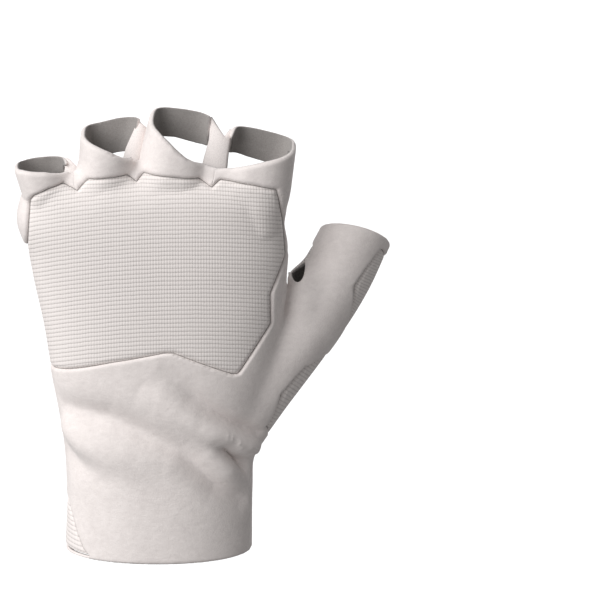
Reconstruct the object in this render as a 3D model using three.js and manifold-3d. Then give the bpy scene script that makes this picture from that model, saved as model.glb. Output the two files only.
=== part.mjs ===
// A fingerless climbing glove for the left hand, filled out as if it were worn.
// Millimetres. The origin is the centre of the wrist opening, +Z runs to the fingers,
// -Y is the back of the hand, +Y the open palm and +X the thumb side.
import * as THREE from 'three';
import { mergeVertices } from 'three/addons/utils/BufferGeometryUtils.js';
import Module from 'manifold-3d';

const wasm = await Module();
wasm.setup();

// Outside sizes of the filled glove
const wristWidth = 64.5;
const wristDepth = 41;
const knuckleWidth = 94;
const knuckleDepth = 27;
const knuckleHeight = 134;
const loopHeight = 19;

// Thumb: where the middle of its opening lies, and how wide and deep the sleeve is there
const thumbReach = 68;
const thumbLean = 19;
const thumbHeight = 105;
const thumbWidth = 25;
const thumbDepth = 25;
const thumbBand = 5;

// Walls, and the clearance that each seam keeps
const suedeWall = 1.6;
const ribWall = 1.2;
const liningWall = 1;
const strapWall = 1.2;
const hookWall = 1.4;
const gap = 0.3;

// Strap widths and trims
const strapWidth = 8;
const strapLength = 31;
const bindingWidth = 2.2;
const bindingWall = 1.9;

// Wrist closure
const flapWidth = 47;
const flapWall = 1.4;
const patchWall = 1.2;
const flapHeight = 32;
const patchBorder = 1.2;
const tabLength = 42;
const tabHeight = 17;
const tabLift = 12;
const tabRootAngle = 22;
const tabRiseShare = 0.4;
const gussetHeight = 21.7;
const gussetReach = 8.3;
const wrapFoot = 20;

// How far past the edge of the back the side walls turn toward the palm
const sideTurn = 3;

// Roundness of the finger loops' outline, 2 for an ellipse
const loopSquare = 2.6;

// Fineness of the facets
const aroundBody = 44;
const bodyRows = 21;
const aroundThumb = 20;
const aroundLoop = 28;

// Cross-sections of the hand, from the wrist up. up: share of knuckleHeight. little and thumb:
// how far each side has spread from the wrist's half width (0) to the knuckles' (1). back and
// palm: the same for the half depths. square: roundness of the outline, 2 for an ellipse.
const bodySections = [
  { up: 0.00, little: 0.00, thumb: 0.00, back: 0.00, palm: 0.00, square: 2.1 },
  { up: 0.16, little: -0.05, thumb: 0.02, back: 0.10, palm: 0.02, square: 2.1 },
  { up: 0.27, little: 0.00, thumb: 0.08, back: 0.20, palm: 0.05, square: 2.2 },
  { up: 0.36, little: 0.12, thumb: 0.27, back: 0.24, palm: 0.12, square: 2.2 },
  { up: 0.45, little: 0.27, thumb: 0.46, back: 0.22, palm: 0.25, square: 2.3 },
  { up: 0.60, little: 0.48, thumb: 0.70, back: 0.26, palm: 0.35, square: 2.4 },
  { up: 0.71, little: 0.69, thumb: 0.84, back: 0.32, palm: 0.45, square: 2.4 },
  { up: 0.79, little: 0.83, thumb: 0.86, back: 0.38, palm: 0.52, square: 2.5 },
  { up: 0.87, little: 1.07, thumb: 0.80, back: 0.50, palm: 0.62, square: 2.5 },
  { up: 0.95, little: 1.07, thumb: 0.88, back: 0.78, palm: 0.82, square: 2.6 },
  { up: 1.00, little: 1.10, thumb: 0.97, back: 1.00, palm: 1.00, square: 2.6 },
  { up: 1.10, little: 1.12, thumb: 1.02, back: 1.10, palm: 1.10, square: 2.6 },
];

// Folds and swells of the back. x: share of half the wrist's width, z: share of knuckleHeight,
// for both ends. rise: height of the swell, below 0 for a valley, in suede walls. wide: its half
// width as a share of the wrist's width.
const folds = [
  { x0: -1.00, z0: 0.39, x1: -0.56, z1: 0.44, rise: -1.0, wide: 0.10 },
  { x0: -0.56, z0: 0.44, x1: 0.16, z1: 0.33, rise: -1.5, wide: 0.10 },
  { x0: 0.16, z0: 0.33, x1: 0.93, z1: 0.15, rise: -1.7, wide: 0.11 },
  { x0: 0.12, z0: 0.51, x1: 1.01, z1: 0.33, rise: -1.3, wide: 0.09 },
  { x0: 0.00, z0: 0.47, x1: 1.10, z1: 0.28, rise: 1.3, wide: 0.09 },
  { x0: 0.62, z0: 0.31, x1: 1.01, z1: 0.19, rise: -1.4, wide: 0.06 },
  { x0: -0.99, z0: 0.35, x1: -0.46, z1: 0.30, rise: 1.0, wide: 0.09 },
];

// Cross-sections of the thumb sleeve, from inside the hand to its opening. x, y and z: the middle
// as shares of thumbReach, thumbLean and thumbHeight. wide and deep: half sizes as shares of half
// of thumbWidth and thumbDepth. drop and lean: degrees that the outer and the palm side sink.
const thumbSections = [
  { x: 0.29, y: 0.10, z: 0.28, wide: 0.88, deep: 1.05, drop: 10, lean: 0 },
  { x: 0.44, y: 0.22, z: 0.48, wide: 1.12, deep: 1.12, drop: 25, lean: 5 },
  { x: 0.62, y: 0.42, z: 0.645, wide: 1.12, deep: 1.08, drop: 27, lean: 12 },
  { x: 0.765, y: 0.63, z: 0.77, wide: 1.06, deep: 1.04, drop: 24, lean: 20 },
  { x: 0.885, y: 0.82, z: 0.875, wide: 1.01, deep: 1.00, drop: 17, lean: 28 },
  { x: 1.00, y: 1.00, z: 1.00, wide: 0.99, deep: 0.98, drop: 12.6, lean: 35 },
];

// Finger loops. The sides are shares of knuckleWidth from the middle, at the foot and at the rim.
// deep: half depth as a share of half of knuckleDepth. The rim heights over the knuckles are
// shares of loopHeight, toward the thumb, at the back, toward the little finger and at the palm,
// and the foot heights follow in the same order.
const fingers = [
  { name: 'little', side0: -0.516, side1: -0.300, rim0: -0.523, rim1: -0.318, deep: 0.80,
    rim: [0.20, 0.14, 0.05, 0.12], foot: [-0.15, -0.10, -0.85, -0.45] },
  { name: 'ring', side0: -0.297, side1: -0.078, rim0: -0.283, rim1: -0.062, deep: 0.98,
    rim: [0.55, 0.50, 0.70, 0.88], foot: [-0.02, 0.08, -0.14, 0.24] },
  { name: 'middle', side0: -0.075, side1: 0.202, rim0: -0.042, rim1: 0.213, deep: 1.00,
    rim: [0.50, 0.46, 0.96, 1.00], foot: [-0.10, 0.13, 0.00, 0.42] },
  { name: 'index', side0: 0.205, side1: 0.490, rim0: 0.245, rim1: 0.507, deep: 0.86,
    rim: [0.47, 0.30, 0.55, 0.72], foot: [-0.18, -0.04, -0.10, 0.16] },
];

// Ribbed panel on the back, as seen from the back. x: share of half the knuckles' width,
// z: share of knuckleHeight. It runs on past the little side and up to the loops.
const panelOutline = [
  { x: -1.40, z: 0.47 }, { x: -0.74, z: 0.485 }, { x: 0.085, z: 0.552 }, { x: 0.57, z: 0.487 },
  { x: 0.60, z: 0.50 }, { x: 0.815, z: 0.61 }, { x: 0.815, z: 0.69 }, { x: 0.88, z: 0.785 },
  { x: 0.86, z: 0.925 }, { x: 0.85, z: 1.05 }, { x: -1.40, z: 1.05 },
];

// Bound edge of the palm wrap, from the little side down to the closure, in the same shares
const wrapEdge = [
  { x: -1.30, z: 0.80 }, { x: -0.93, z: 0.66 }, { x: -0.85, z: 0.597 }, { x: -0.70, z: 0.493 },
  { x: -0.55, z: 0.437 }, { x: -0.29, z: 0.373 }, { x: 0.13, z: 0.298 }, { x: 0.45, z: 0.20 },
];

// Thumb side of the open palm, in the same shares
const palmEdge = [
  { x: 0.70, z: -0.10 }, { x: 0.70, z: 0.24 }, { x: 0.74, z: 0.30 }, { x: 0.81, z: 0.37 },
  { x: 0.90, z: 0.48 }, { x: 0.95, z: 0.59 }, { x: 0.96, z: 0.69 }, { x: 1.00, z: 0.74 },
  { x: 1.08, z: 0.80 }, { x: 1.10, z: 1.20 },
];

// Line between the thumb's suede and its ribbed palm side, seen from the side.
// y: share of thumbLean, z: share of thumbHeight.
const thumbSeam = [
  { y: 0.30, z: 0.34 }, { y: -0.12, z: 0.42 }, { y: -0.10, z: 0.50 }, { y: 0.08, z: 0.56 },
  { y: 0.50, z: 0.62 }, { y: 0.55, z: 0.74 }, { y: 0.66, z: 0.86 }, { y: 0.72, z: 0.95 },
];

// Closure flap on the palm side of the wrist, seen from the palm. x: share of flapWidth from its
// little side, z: share of flapHeight.
const flapOutline = [
  { x: 0.06, z: 0.98 }, { x: 0.60, z: 0.95 }, { x: 0.95, z: 1.00 }, { x: 1.00, z: 0.62 },
  { x: 0.98, z: 0.30 }, { x: 0.76, z: 0.11 }, { x: 0.55, z: 0.03 }, { x: 0.00, z: 0.01 },
  { x: 0.03, z: 0.45 },
];

// Hook tab, from its root at the thumb side. along: share of tabLength, low and high: edges as
// shares of tabHeight over tabLift.
const tabOutline = [
  { along: 0.00, low: 0.14, high: 1.08 },
  { along: 0.14, low: 0.08, high: 1.04 },
  { along: 0.30, low: 0.00, high: 0.96 },
  { along: 0.45, low: -0.04, high: 0.91 },
  { along: 0.60, low: -0.08, high: 0.87 },
  { along: 0.72, low: -0.10, high: 0.85 },
  { along: 0.84, low: -0.10, high: 0.82 },
  { along: 0.92, low: -0.06, high: 0.60 },
  { along: 1.00, low: 0.16, high: 0.34 },
];

// Route of a strap between two fingers, from the palm side of the loops to the lining.
// y: share of half of knuckleDepth, z: share of strapLength below the foot of the loops.
const strapRoute = [
  { y: 0.90, z: -0.08 }, { y: 0.66, z: 0.11 }, { y: 0.25, z: 0.21 }, { y: -0.15, z: 0.30 },
];

// Where the straps start between the loops and where they end, as shares of knuckleWidth, and how
// long they are, as shares of strapLength
const straps = [
  { name: 'index_middle', top: 0.190, foot: 0.120, length: 1.00 },
  { name: 'middle_ring', top: -0.085, foot: -0.085, length: 1.00 },
  { name: 'ring_little', top: -0.300, foot: -0.275, length: 1.13 },
];

const degrees = Math.PI / 180;
const halfWrist = wristWidth / 2;
const halfKnuckles = knuckleWidth / 2;
const reachOut = knuckleWidth;

// Smooth value of one column of a table at a place between its rows
function columnAt(rows, placeKey, valueKey, place) {
  const last = rows.length - 1;
  let index = 0;
  while (index < last - 1 && place > rows[index + 1][placeKey]) index += 1;
  const before = rows[Math.max(index - 1, 0)];
  const start = rows[index];
  const end = rows[index + 1];
  const after = rows[Math.min(index + 2, last)];
  const span = end[placeKey] - start[placeKey];
  const share = (place - start[placeKey]) / span;
  const startSlope = (end[valueKey] - before[valueKey]) / (end[placeKey] - before[placeKey]) * span;
  const endSlope = (after[valueKey] - start[valueKey]) / (after[placeKey] - start[placeKey]) * span;
  const square = share * share;
  const cube = square * share;
  return (2 * cube - 3 * square + 1) * start[valueKey] + (cube - 2 * square + share) * startSlope
    + (3 * square - 2 * cube) * end[valueKey] + (cube - square) * endSlope;
}

function mix(from, to, share) {
  return from + (to - from) * share;
}

function smoothStep(share) {
  const held = Math.min(Math.max(share, 0), 1);
  return held * held * (3 - 2 * held);
}

// Cosine raised to a superellipse's power, keeping its sign
function rounded(value, square) {
  return Math.sign(value) * Math.abs(value) ** (2 / square);
}

// Swell of the back at one place, from the table of folds
function foldRise(x, z) {
  let rise = 0;
  for (const fold of folds) {
    const startX = fold.x0 * halfWrist;
    const startZ = fold.z0 * knuckleHeight;
    const runX = fold.x1 * halfWrist - startX;
    const runZ = fold.z1 * knuckleHeight - startZ;
    const along = ((x - startX) * runX + (z - startZ) * runZ) / (runX * runX + runZ * runZ);
    const held = Math.min(Math.max(along, 0), 1);
    const away = Math.hypot(x - startX - runX * held, z - startZ - runZ * held);
    const fade = away / (fold.wide * wristWidth);
    rise += fold.rise * suedeWall * Math.exp(-fade * fade);
  }
  return rise;
}

// Half sizes of the hand at a height
function bodySizes(z) {
  const up = z / knuckleHeight;
  const at = (key) => columnAt(bodySections, 'up', key, up);
  return {
    little: mix(halfWrist, halfKnuckles, at('little')),
    thumb: mix(halfWrist, halfKnuckles, at('thumb')),
    back: mix(wristDepth / 2, knuckleDepth / 2, at('back')),
    palm: mix(wristDepth / 2, knuckleDepth / 2, at('palm')),
    square: at('square'),
  };
}

// Point of the hand's outside, moved out by a distance. The angle runs from the thumb side (0)
// over the back (90) and the little side (180) to the palm (270).
function bodyPoint(angle, z, out) {
  const sizes = bodySizes(z);
  const across = rounded(Math.cos(angle), sizes.square);
  const over = rounded(Math.sin(angle), sizes.square);
  const x = across * ((across > 0 ? sizes.thumb : sizes.little) + out);
  const swell = over > 0 ? foldRise(x, z) * over * over : 0;
  const depth = (over > 0 ? sizes.back + swell : sizes.palm) + out;
  return new THREE.Vector3(x, -over * depth, z);
}

// Closed mesh from rings of points, with a flat cap at both ends
function loft(rings) {
  const around = rings[0].length;
  const positions = rings.flat().flatMap((point) => point.toArray());
  const faces = [];
  for (let row = 0; row + 1 < rings.length; row += 1) {
    for (let step = 0; step < around; step += 1) {
      const next = (step + 1) % around;
      const low = row * around;
      const high = low + around;
      faces.push(low + step, low + next, high + next);
      faces.push(low + step, high + next, high + step);
    }
  }
  for (const row of [0, rings.length - 1]) {
    const middle = rings[row].reduce((sum, point) => sum.add(point), new THREE.Vector3());
    const centre = positions.length / 3;
    positions.push(...middle.divideScalar(around).toArray());
    for (let step = 0; step < around; step += 1) {
      const here = row * around + step;
      const next = row * around + (step + 1) % around;
      faces.push(centre, ...(row === 0 ? [next, here] : [here, next]));
    }
  }
  return meshGeometry(positions, faces);
}

function meshGeometry(positions, faces) {
  const geometry = new THREE.BufferGeometry();
  geometry.setAttribute('position', new THREE.Float32BufferAttribute(positions, 3));
  geometry.setIndex(faces);
  return geometry;
}

// Closed mesh from two grids of points that face each other. A ring of columns closes on itself.
function slab(outer, inner, closed = false) {
  const rows = outer.length;
  const columns = outer[0].length;
  const positions = [...outer.flat(), ...inner.flat()].flatMap((point) => point.toArray());
  const faces = [];
  const outerAt = (row, column) => row * columns + (column % columns);
  const innerAt = (row, column) => rows * columns + outerAt(row, column);
  const quad = (a, b, c, d) => faces.push(a, b, c, a, c, d);
  const lastColumn = closed ? columns : columns - 1;
  for (let row = 0; row + 1 < rows; row += 1) {
    for (let column = 0; column < lastColumn; column += 1) {
      const next = column + 1;
      quad(outerAt(row, column), outerAt(row, next), outerAt(row + 1, next), outerAt(row + 1, column));
      quad(innerAt(row, column), innerAt(row + 1, column), innerAt(row + 1, next), innerAt(row, next));
    }
  }
  for (let column = 0; column < lastColumn; column += 1) {
    const top = rows - 1;
    quad(innerAt(0, column), innerAt(0, column + 1), outerAt(0, column + 1), outerAt(0, column));
    quad(outerAt(top, column), outerAt(top, column + 1), innerAt(top, column + 1), innerAt(top, column));
  }
  if (!closed) {
    const end = columns - 1;
    for (let row = 0; row + 1 < rows; row += 1) {
      quad(innerAt(row, 0), outerAt(row, 0), outerAt(row + 1, 0), innerAt(row + 1, 0));
      quad(outerAt(row, end), innerAt(row, end), innerAt(row + 1, end), outerAt(row + 1, end));
    }
  }
  return meshGeometry(positions, faces);
}

// Solid for joining and cutting, from a closed geometry
function solidOf(geometry) {
  const plain = geometry.clone();
  plain.deleteAttribute('normal');
  plain.deleteAttribute('uv');
  const merged = mergeVertices(plain);
  return new wasm.Manifold(new wasm.Mesh({
    numProp: 3,
    vertProperties: new Float32Array(merged.attributes.position.array),
    triVerts: new Uint32Array(merged.index.array),
  }));
}

function geometryOf(solid) {
  const mesh = solid.getMesh();
  const geometry = new THREE.BufferGeometry();
  const positions = new Float32Array(mesh.vertProperties);
  geometry.setAttribute('position', new THREE.BufferAttribute(positions, 3));
  geometry.setIndex(new THREE.BufferAttribute(new Uint32Array(mesh.triVerts), 1));
  return geometry;
}

// Outline of points, moved outward by a distance
function grown(outline, distance) {
  const points = outline.map((point) => new THREE.Vector2(point.x, point.y));
  const turn = THREE.ShapeUtils.isClockWise(points) ? -1 : 1;
  return points.map((point, index) => {
    const before = points.at(index - 1);
    const after = points[(index + 1) % points.length];
    const edgeIn = point.clone().sub(before).normalize();
    const edgeOut = after.clone().sub(point).normalize();
    const normal = new THREE.Vector2(edgeIn.y + edgeOut.y, -edgeIn.x - edgeOut.x).normalize();
    const reach = normal.x * edgeIn.y - normal.y * edgeIn.x;
    return point.clone().addScaledVector(normal, turn * distance / reach);
  });
}

// Prism over an outline, set upright: its first axis along X or Y and its second along Z
function prism(outline, firstAxis, fromDepth, toDepth) {
  const shape = new THREE.Shape(outline.map((point) => new THREE.Vector2(point.x, point.y)));
  const geometry = new THREE.ExtrudeGeometry(shape, { depth: toDepth - fromDepth, bevelEnabled: false });
  const up = new THREE.Vector3(0, 0, 1);
  const through = new THREE.Vector3().crossVectors(firstAxis, up);
  const upright = new THREE.Matrix4().makeBasis(firstAxis, up, through);
  upright.setPosition(through.clone().multiplyScalar(fromDepth));
  return solidOf(geometry.applyMatrix4(upright));
}

// Prism through the back or the palm over an outline seen from the back. Depths run toward -Y.
function prismBack(outline, fromDepth, toDepth) {
  return prism(outline, new THREE.Vector3(1, 0, 0), fromDepth, toDepth);
}

// Prism across the hand over an outline in y and z. Depths run toward +X.
function prismAcross(outline, fromDepth, toDepth) {
  return prism(outline, new THREE.Vector3(0, 1, 0), fromDepth, toDepth);
}

// The hand and the thumb as one filled body, moved out by a distance
function bodySolid(out, past) {
  const low = -past;
  const high = knuckleHeight * bodySections.at(-1).up + past;
  const rings = [];
  for (let row = 0; row <= bodyRows; row += 1) {
    const ring = [];
    for (let step = 0; step < aroundBody; step += 1) {
      ring.push(bodyPoint(-step / aroundBody * 2 * Math.PI, mix(low, high, row / bodyRows), out));
    }
    rings.push(ring);
  }
  return solidOf(loft(rings));
}

function thumbSection(share) {
  const rows = thumbSections.map((row, index) => ({ ...row, place: index }));
  const at = (key) => columnAt(rows, 'place', key, share * (rows.length - 1));
  return {
    middle: new THREE.Vector3(at('x') * thumbReach, at('y') * thumbLean, at('z') * thumbHeight),
    wide: at('wide') * thumbWidth / 2,
    deep: at('deep') * thumbDepth / 2,
    drop: at('drop') * degrees,
    lean: at('lean') * degrees,
  };
}

function thumbRing(share, out, past) {
  const section = thumbSection(share);
  const sideways = new THREE.Vector3(Math.cos(section.drop), 0, -Math.sin(section.drop));
  const palmward = new THREE.Vector3(0, Math.cos(section.lean), -Math.sin(section.lean));
  const ahead = new THREE.Vector3().crossVectors(sideways, palmward).normalize();
  const ring = [];
  for (let step = 0; step < aroundThumb; step += 1) {
    const angle = step / aroundThumb * 2 * Math.PI;
    ring.push(section.middle.clone()
      .addScaledVector(sideways, Math.cos(angle) * (section.wide + out))
      .addScaledVector(palmward, Math.sin(angle) * (section.deep + out))
      .addScaledVector(ahead, past));
  }
  return ring;
}

function thumbSolid(out, past) {
  const steps = 2 * (thumbSections.length - 1);
  const rings = [];
  for (let row = 0; row <= steps; row += 1) rings.push(thumbRing(row / steps, out, 0));
  if (past > 0) rings.push(thumbRing(1, out, past));
  return solidOf(loft(rings));
}

// Wall between two distances from the outside, open at the wrist, the knuckles and the thumb
function layer(inner, outer) {
  const filled = bodySolid(outer, 1).add(thumbSolid(outer, 0));
  const hollow = bodySolid(inner, 2).add(thumbSolid(inner, suedeWall));
  return filled.subtract(hollow);
}

function scaled(rows, firstSize, secondSize, firstKey = 'x') {
  return rows.map((row) => new THREE.Vector2(row[firstKey] * firstSize, row.z * secondSize));
}

// Heights of a finger loop's edge round its four quarters, from the thumb side over the back
function loopEdge(heights, angle) {
  const quarter = angle / (Math.PI / 2);
  const index = Math.floor(quarter) % 4;
  const share = smoothStep(quarter - Math.floor(quarter));
  return knuckleHeight + loopHeight * mix(heights[index], heights[(index + 1) % 4], share);
}

// Ring of a finger loop, from its foot (share 0) to its rim (share 1), moved out by a distance
function loopRing(finger, share, out) {
  const middle = (side0, side1) => (side0 + side1) / 2 * knuckleWidth;
  const half = (side0, side1) => (side1 - side0) / 2 * knuckleWidth;
  const centre = mix(middle(finger.side0, finger.side1), middle(finger.rim0, finger.rim1), share);
  const wide = mix(half(finger.side0, finger.side1), half(finger.rim0, finger.rim1), share) + out;
  const deep = finger.deep * knuckleDepth / 2 + out;
  const ring = [];
  for (let step = 0; step < aroundLoop; step += 1) {
    const angle = step / aroundLoop * 2 * Math.PI;
    const height = mix(loopEdge(finger.foot, angle), loopEdge(finger.rim, angle), share);
    ring.push(new THREE.Vector3(centre + rounded(Math.cos(angle), loopSquare) * wide,
      -rounded(Math.sin(angle), loopSquare) * deep, height));
  }
  return ring.reverse();
}

function fingerLoop(finger) {
  const shares = [0, 0.5, 1];
  const outer = shares.map((share) => loopRing(finger, share, 0));
  const inner = shares.map((share) => loopRing(finger, share, -suedeWall));
  return slab(outer, inner, true);
}

// Everything above the feet of the finger loops, seen from the back
function aboveLoopFeet() {
  const outline = [new THREE.Vector2(-reachOut, loopEdge(fingers[0].foot, Math.PI) - gap)];
  for (const finger of fingers) {
    const inside = loopRing(finger, 0, -suedeWall).filter((point) => point.y <= 0);
    inside.sort((one, other) => one.x - other.x);
    const littleEnd = new THREE.Vector3(finger.side0 * knuckleWidth - gap / 2, 0, inside[0].z);
    const thumbEnd = new THREE.Vector3(finger.side1 * knuckleWidth, 0, inside.at(-1).z);
    for (const point of [littleEnd, ...inside, thumbEnd]) {
      outline.push(new THREE.Vector2(point.x, point.z - gap));
    }
  }
  outline.push(new THREE.Vector2(reachOut, loopEdge(fingers.at(-1).foot, 0) - gap));
  outline.push(new THREE.Vector2(reachOut, 2 * knuckleHeight));
  outline.push(new THREE.Vector2(-reachOut, 2 * knuckleHeight));
  return prismBack(outline, -reachOut, reachOut);
}

// Depth of the hand's outside at the palm (side 1) or the back (side -1), moved out
function surfaceY(x, z, out, side) {
  const sizes = bodySizes(z);
  const wide = (x > 0 ? sizes.thumb : sizes.little) + out;
  const swell = side < 0 ? foldRise(x, z) : 0;
  const deep = (side > 0 ? sizes.palm : sizes.back + swell) + out;
  const across = Math.min(Math.abs(x) / wide, 1);
  return side * deep * (1 - across ** sizes.square) ** (1 / sizes.square);
}

// Strap from the palm side of two loops, between the fingers and down the lining
function fingerStrap(strap) {
  const topZ = knuckleHeight - gap;
  const onLining = [0.42, 0.55, 0.7, 0.85, 1];
  const outer = [];
  const inner = [];
  const put = (share, placeY, upright) => {
    const centreX = mix(strap.top, strap.foot, share) * knuckleWidth;
    const z = topZ - share * strapLength;
    const rows = [0, strapWall].map((shift) => [-1, 0, 1].map((side) => {
      const x = centreX + side * strapWidth / 2;
      return new THREE.Vector3(x, placeY(x, z) + shift * (1 - upright), z - shift * upright);
    }));
    outer.push(rows[0]);
    inner.push(rows[1]);
  };
  for (const row of strapRoute) put(row.z, () => row.y * knuckleDepth / 2, 1);
  const liningInside = -suedeWall - 2 * gap - liningWall;
  for (const share of onLining) {
    put(share * strap.length, (x, z) => surfaceY(x, z, liningInside, -1), 0);
  }
  return slab(inner, outer);
}

// Angle reached after a walk round the outside at one height, toward the palm
function angleAlong(start, length, z) {
  const step = degrees;
  let angle = start;
  let walked = 0;
  let place = bodyPoint(angle, z, 0);
  while (walked < length) {
    const next = bodyPoint(angle - step, z, 0);
    walked += next.distanceTo(place);
    place = next;
    angle -= step;
  }
  return angle;
}

// Hook tab, lying on the loop patch at its point and on the suede at its root
function hookTab(overPatch, overSuede) {
  const steps = 16;
  const columns = 4;
  const outer = [];
  const inner = [];
  for (let step = 0; step <= steps; step += 1) {
    const along = step / steps;
    const angle = angleAlong(tabRootAngle * -degrees, along * tabLength, tabLift);
    const low = columnAt(tabOutline, 'along', 'low', along);
    const high = columnAt(tabOutline, 'along', 'high', along);
    const out = mix(overSuede, overPatch, smoothStep(along / tabRiseShare));
    const line = (reach) => Array.from({ length: columns + 1 }, (unused, column) => (
      bodyPoint(angle, tabLift + tabHeight * mix(low, high, column / columns), reach)));
    outer.push(line(out + hookWall));
    inner.push(line(out));
  }
  return slab(inner, outer);
}

const suede = layer(-suedeWall, 0);
const ribbed = layer(-suedeWall, ribWall - suedeWall);
const lining = layer(-suedeWall - gap - liningWall, -suedeWall - gap);

// Regions of the glove, each a tall prism
const panelLine = scaled(panelOutline, halfKnuckles, knuckleHeight);
const panelRegion = prismBack(panelLine, -sideTurn, reachOut);
const panelWindow = prismBack(grown(panelLine, gap), -sideTurn - gap, reachOut);
const loopRegion = aboveLoopFeet();
const belowWrist = prismBack(boxOutline(-reachOut, reachOut, -reachOut, 0), -reachOut, reachOut);
const palmLine = scaled(palmEdge, halfKnuckles, knuckleHeight);
const palmOpening = prismBack([...palmLine, ...farCorners(palmLine)], -reachOut, -sideTurn);
const liningOpening = prismBack([...palmLine, ...farCorners(palmLine)], -reachOut, 0);
const gussetLine = [
  new THREE.Vector2(gussetReach - halfWrist, -gap),
  new THREE.Vector2(suedeWall / 2 - halfWrist, gussetHeight),
  new THREE.Vector2(-reachOut, gussetHeight),
  new THREE.Vector2(-reachOut, -gap),
];
const gussetRegion = prismBack(gussetLine, -reachOut, reachOut);
const gussetWindow = prismBack(grown(gussetLine, gap), -reachOut, reachOut);

function boxOutline(left, right, low, high) {
  const corners = [[left, low], [right, low], [right, high], [left, high]];
  return corners.map((corner) => new THREE.Vector2(...corner));
}

function farCorners(line) {
  return [new THREE.Vector2(-reachOut, line.at(-1).y), new THREE.Vector2(-reachOut, line[0].y)];
}

// Ribbed palm side of the thumb, short of the band round its opening
function thumbSideRegion(clearance) {
  const seam = scaled(thumbSeam, thumbLean, thumbHeight, 'y');
  const outline = [...seam];
  for (const end of [seam.at(-1), seam[0]]) outline.push(new THREE.Vector2(reachOut, end.y));
  const across = prismAcross(grown(outline, clearance), 0, reachOut);
  const kept = thumbRing(1, thumbWidth, clearance - thumbBand);
  const root = thumbRing(0, thumbWidth, 0);
  return across.intersect(solidOf(loft([root, kept])));
}

const thumbPanelRegion = thumbSideRegion(0);
const thumbPanelWindow = thumbSideRegion(gap);
const wrapLine = scaled(wrapEdge, halfKnuckles, knuckleHeight);
const wrapOutline = [
  ...wrapLine,
  new THREE.Vector2(wrapLine.at(-1).x, wrapFoot),
  new THREE.Vector2(-reachOut, wrapFoot),
];
const flapLine = flapOutline.map((point) => new THREE.Vector2(
  suedeWall - halfWrist + point.x * flapWidth, point.z * flapHeight));

function palmRegion(outline) {
  return prismBack(outline, -reachOut, -sideTurn - gap);
}

// Strip along the wrap's edge, from one distance past it to another
function bindingOutline() {
  const count = wrapLine.length;
  const near = grown(wrapOutline, gap).slice(0, count);
  const far = grown(wrapOutline, gap + bindingWidth).slice(0, count);
  return [...near, ...far.reverse()];
}

// Filled space of a finger loop, which its straps keep clear of
function loopSpace(finger) {
  const foot = loopRing(finger, 0, gap).map((point) => point.setZ(point.z - gap));
  return solidOf(loft([foot, loopRing(finger, 1, gap)]));
}

const backShell = suede.subtract(belowWrist).subtract(loopRegion).subtract(panelWindow)
  .subtract(palmOpening).subtract(gussetWindow).subtract(thumbPanelWindow);
const backPanel = ribbed.subtract(loopRegion).intersect(panelRegion);
const backLining = lining.subtract(belowWrist).subtract(loopRegion).subtract(liningOpening);
const thumbPanel = ribbed.intersect(thumbPanelRegion).subtract(palmOpening).subtract(panelWindow);
const palmWrap = ribbed.intersect(palmRegion(wrapOutline)).subtract(gussetWindow);
const cuffGusset = ribbed.intersect(gussetRegion).subtract(belowWrist);
const flapWindow = palmRegion(grown(flapLine, gap));
const wrapBinding = layer(-suedeWall, bindingWall - suedeWall)
  .intersect(palmRegion(bindingOutline())).subtract(flapWindow);
const flapInner = ribWall - suedeWall + gap;
const flapOuter = flapInner + flapWall;
const patchOuter = flapOuter + gap + patchWall;
const wristFlap = layer(flapInner, flapOuter).intersect(palmRegion(flapLine));
const loopPatch = layer(flapOuter + gap, patchOuter)
  .intersect(palmRegion(grown(flapLine, -patchBorder)));
const loopSpaces = fingers.map(loopSpace);

const colours = {
  suede: { color: 0xded9d5, roughness: 0.95 },
  ribbed: { color: 0xd8d3ce, roughness: 0.9 },
  lining: { color: 0x87827f, roughness: 0.95 },
  trim: { color: 0xc4c0bb, roughness: 0.9 },
  black: { color: 0x0f0d0e, roughness: 0.85 },
};
const glove = new THREE.Group();

function addPiece(name, geometry, colour) {
  const material = new THREE.MeshStandardMaterial({ ...colours[colour], metalness: 0 });
  const piece = new THREE.Mesh(geometry, material);
  piece.name = name;
  glove.add(piece);
}

addPiece('back_shell', geometryOf(backShell), 'suede');
addPiece('back_panel', geometryOf(backPanel), 'ribbed');
addPiece('back_lining', geometryOf(backLining), 'lining');
addPiece('thumb_side_panel', geometryOf(thumbPanel), 'ribbed');
addPiece('palm_wrap', geometryOf(palmWrap), 'ribbed');
addPiece('wrap_binding', geometryOf(wrapBinding), 'trim');
addPiece('cuff_gusset', geometryOf(cuffGusset), 'ribbed');
addPiece('wrist_flap', geometryOf(wristFlap), 'suede');
addPiece('loop_patch', geometryOf(loopPatch), 'black');
addPiece('hook_tab', hookTab(patchOuter + gap, gap), 'black');
for (const finger of fingers) addPiece(`finger_loop_${finger.name}`, fingerLoop(finger), 'suede');
for (const strap of straps) {
  let solid = solidOf(fingerStrap(strap));
  for (const space of loopSpaces) solid = solid.subtract(space);
  addPiece(`finger_strap_${strap.name}`, geometryOf(solid), 'lining');
}

export default glove;
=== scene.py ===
import math

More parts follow.
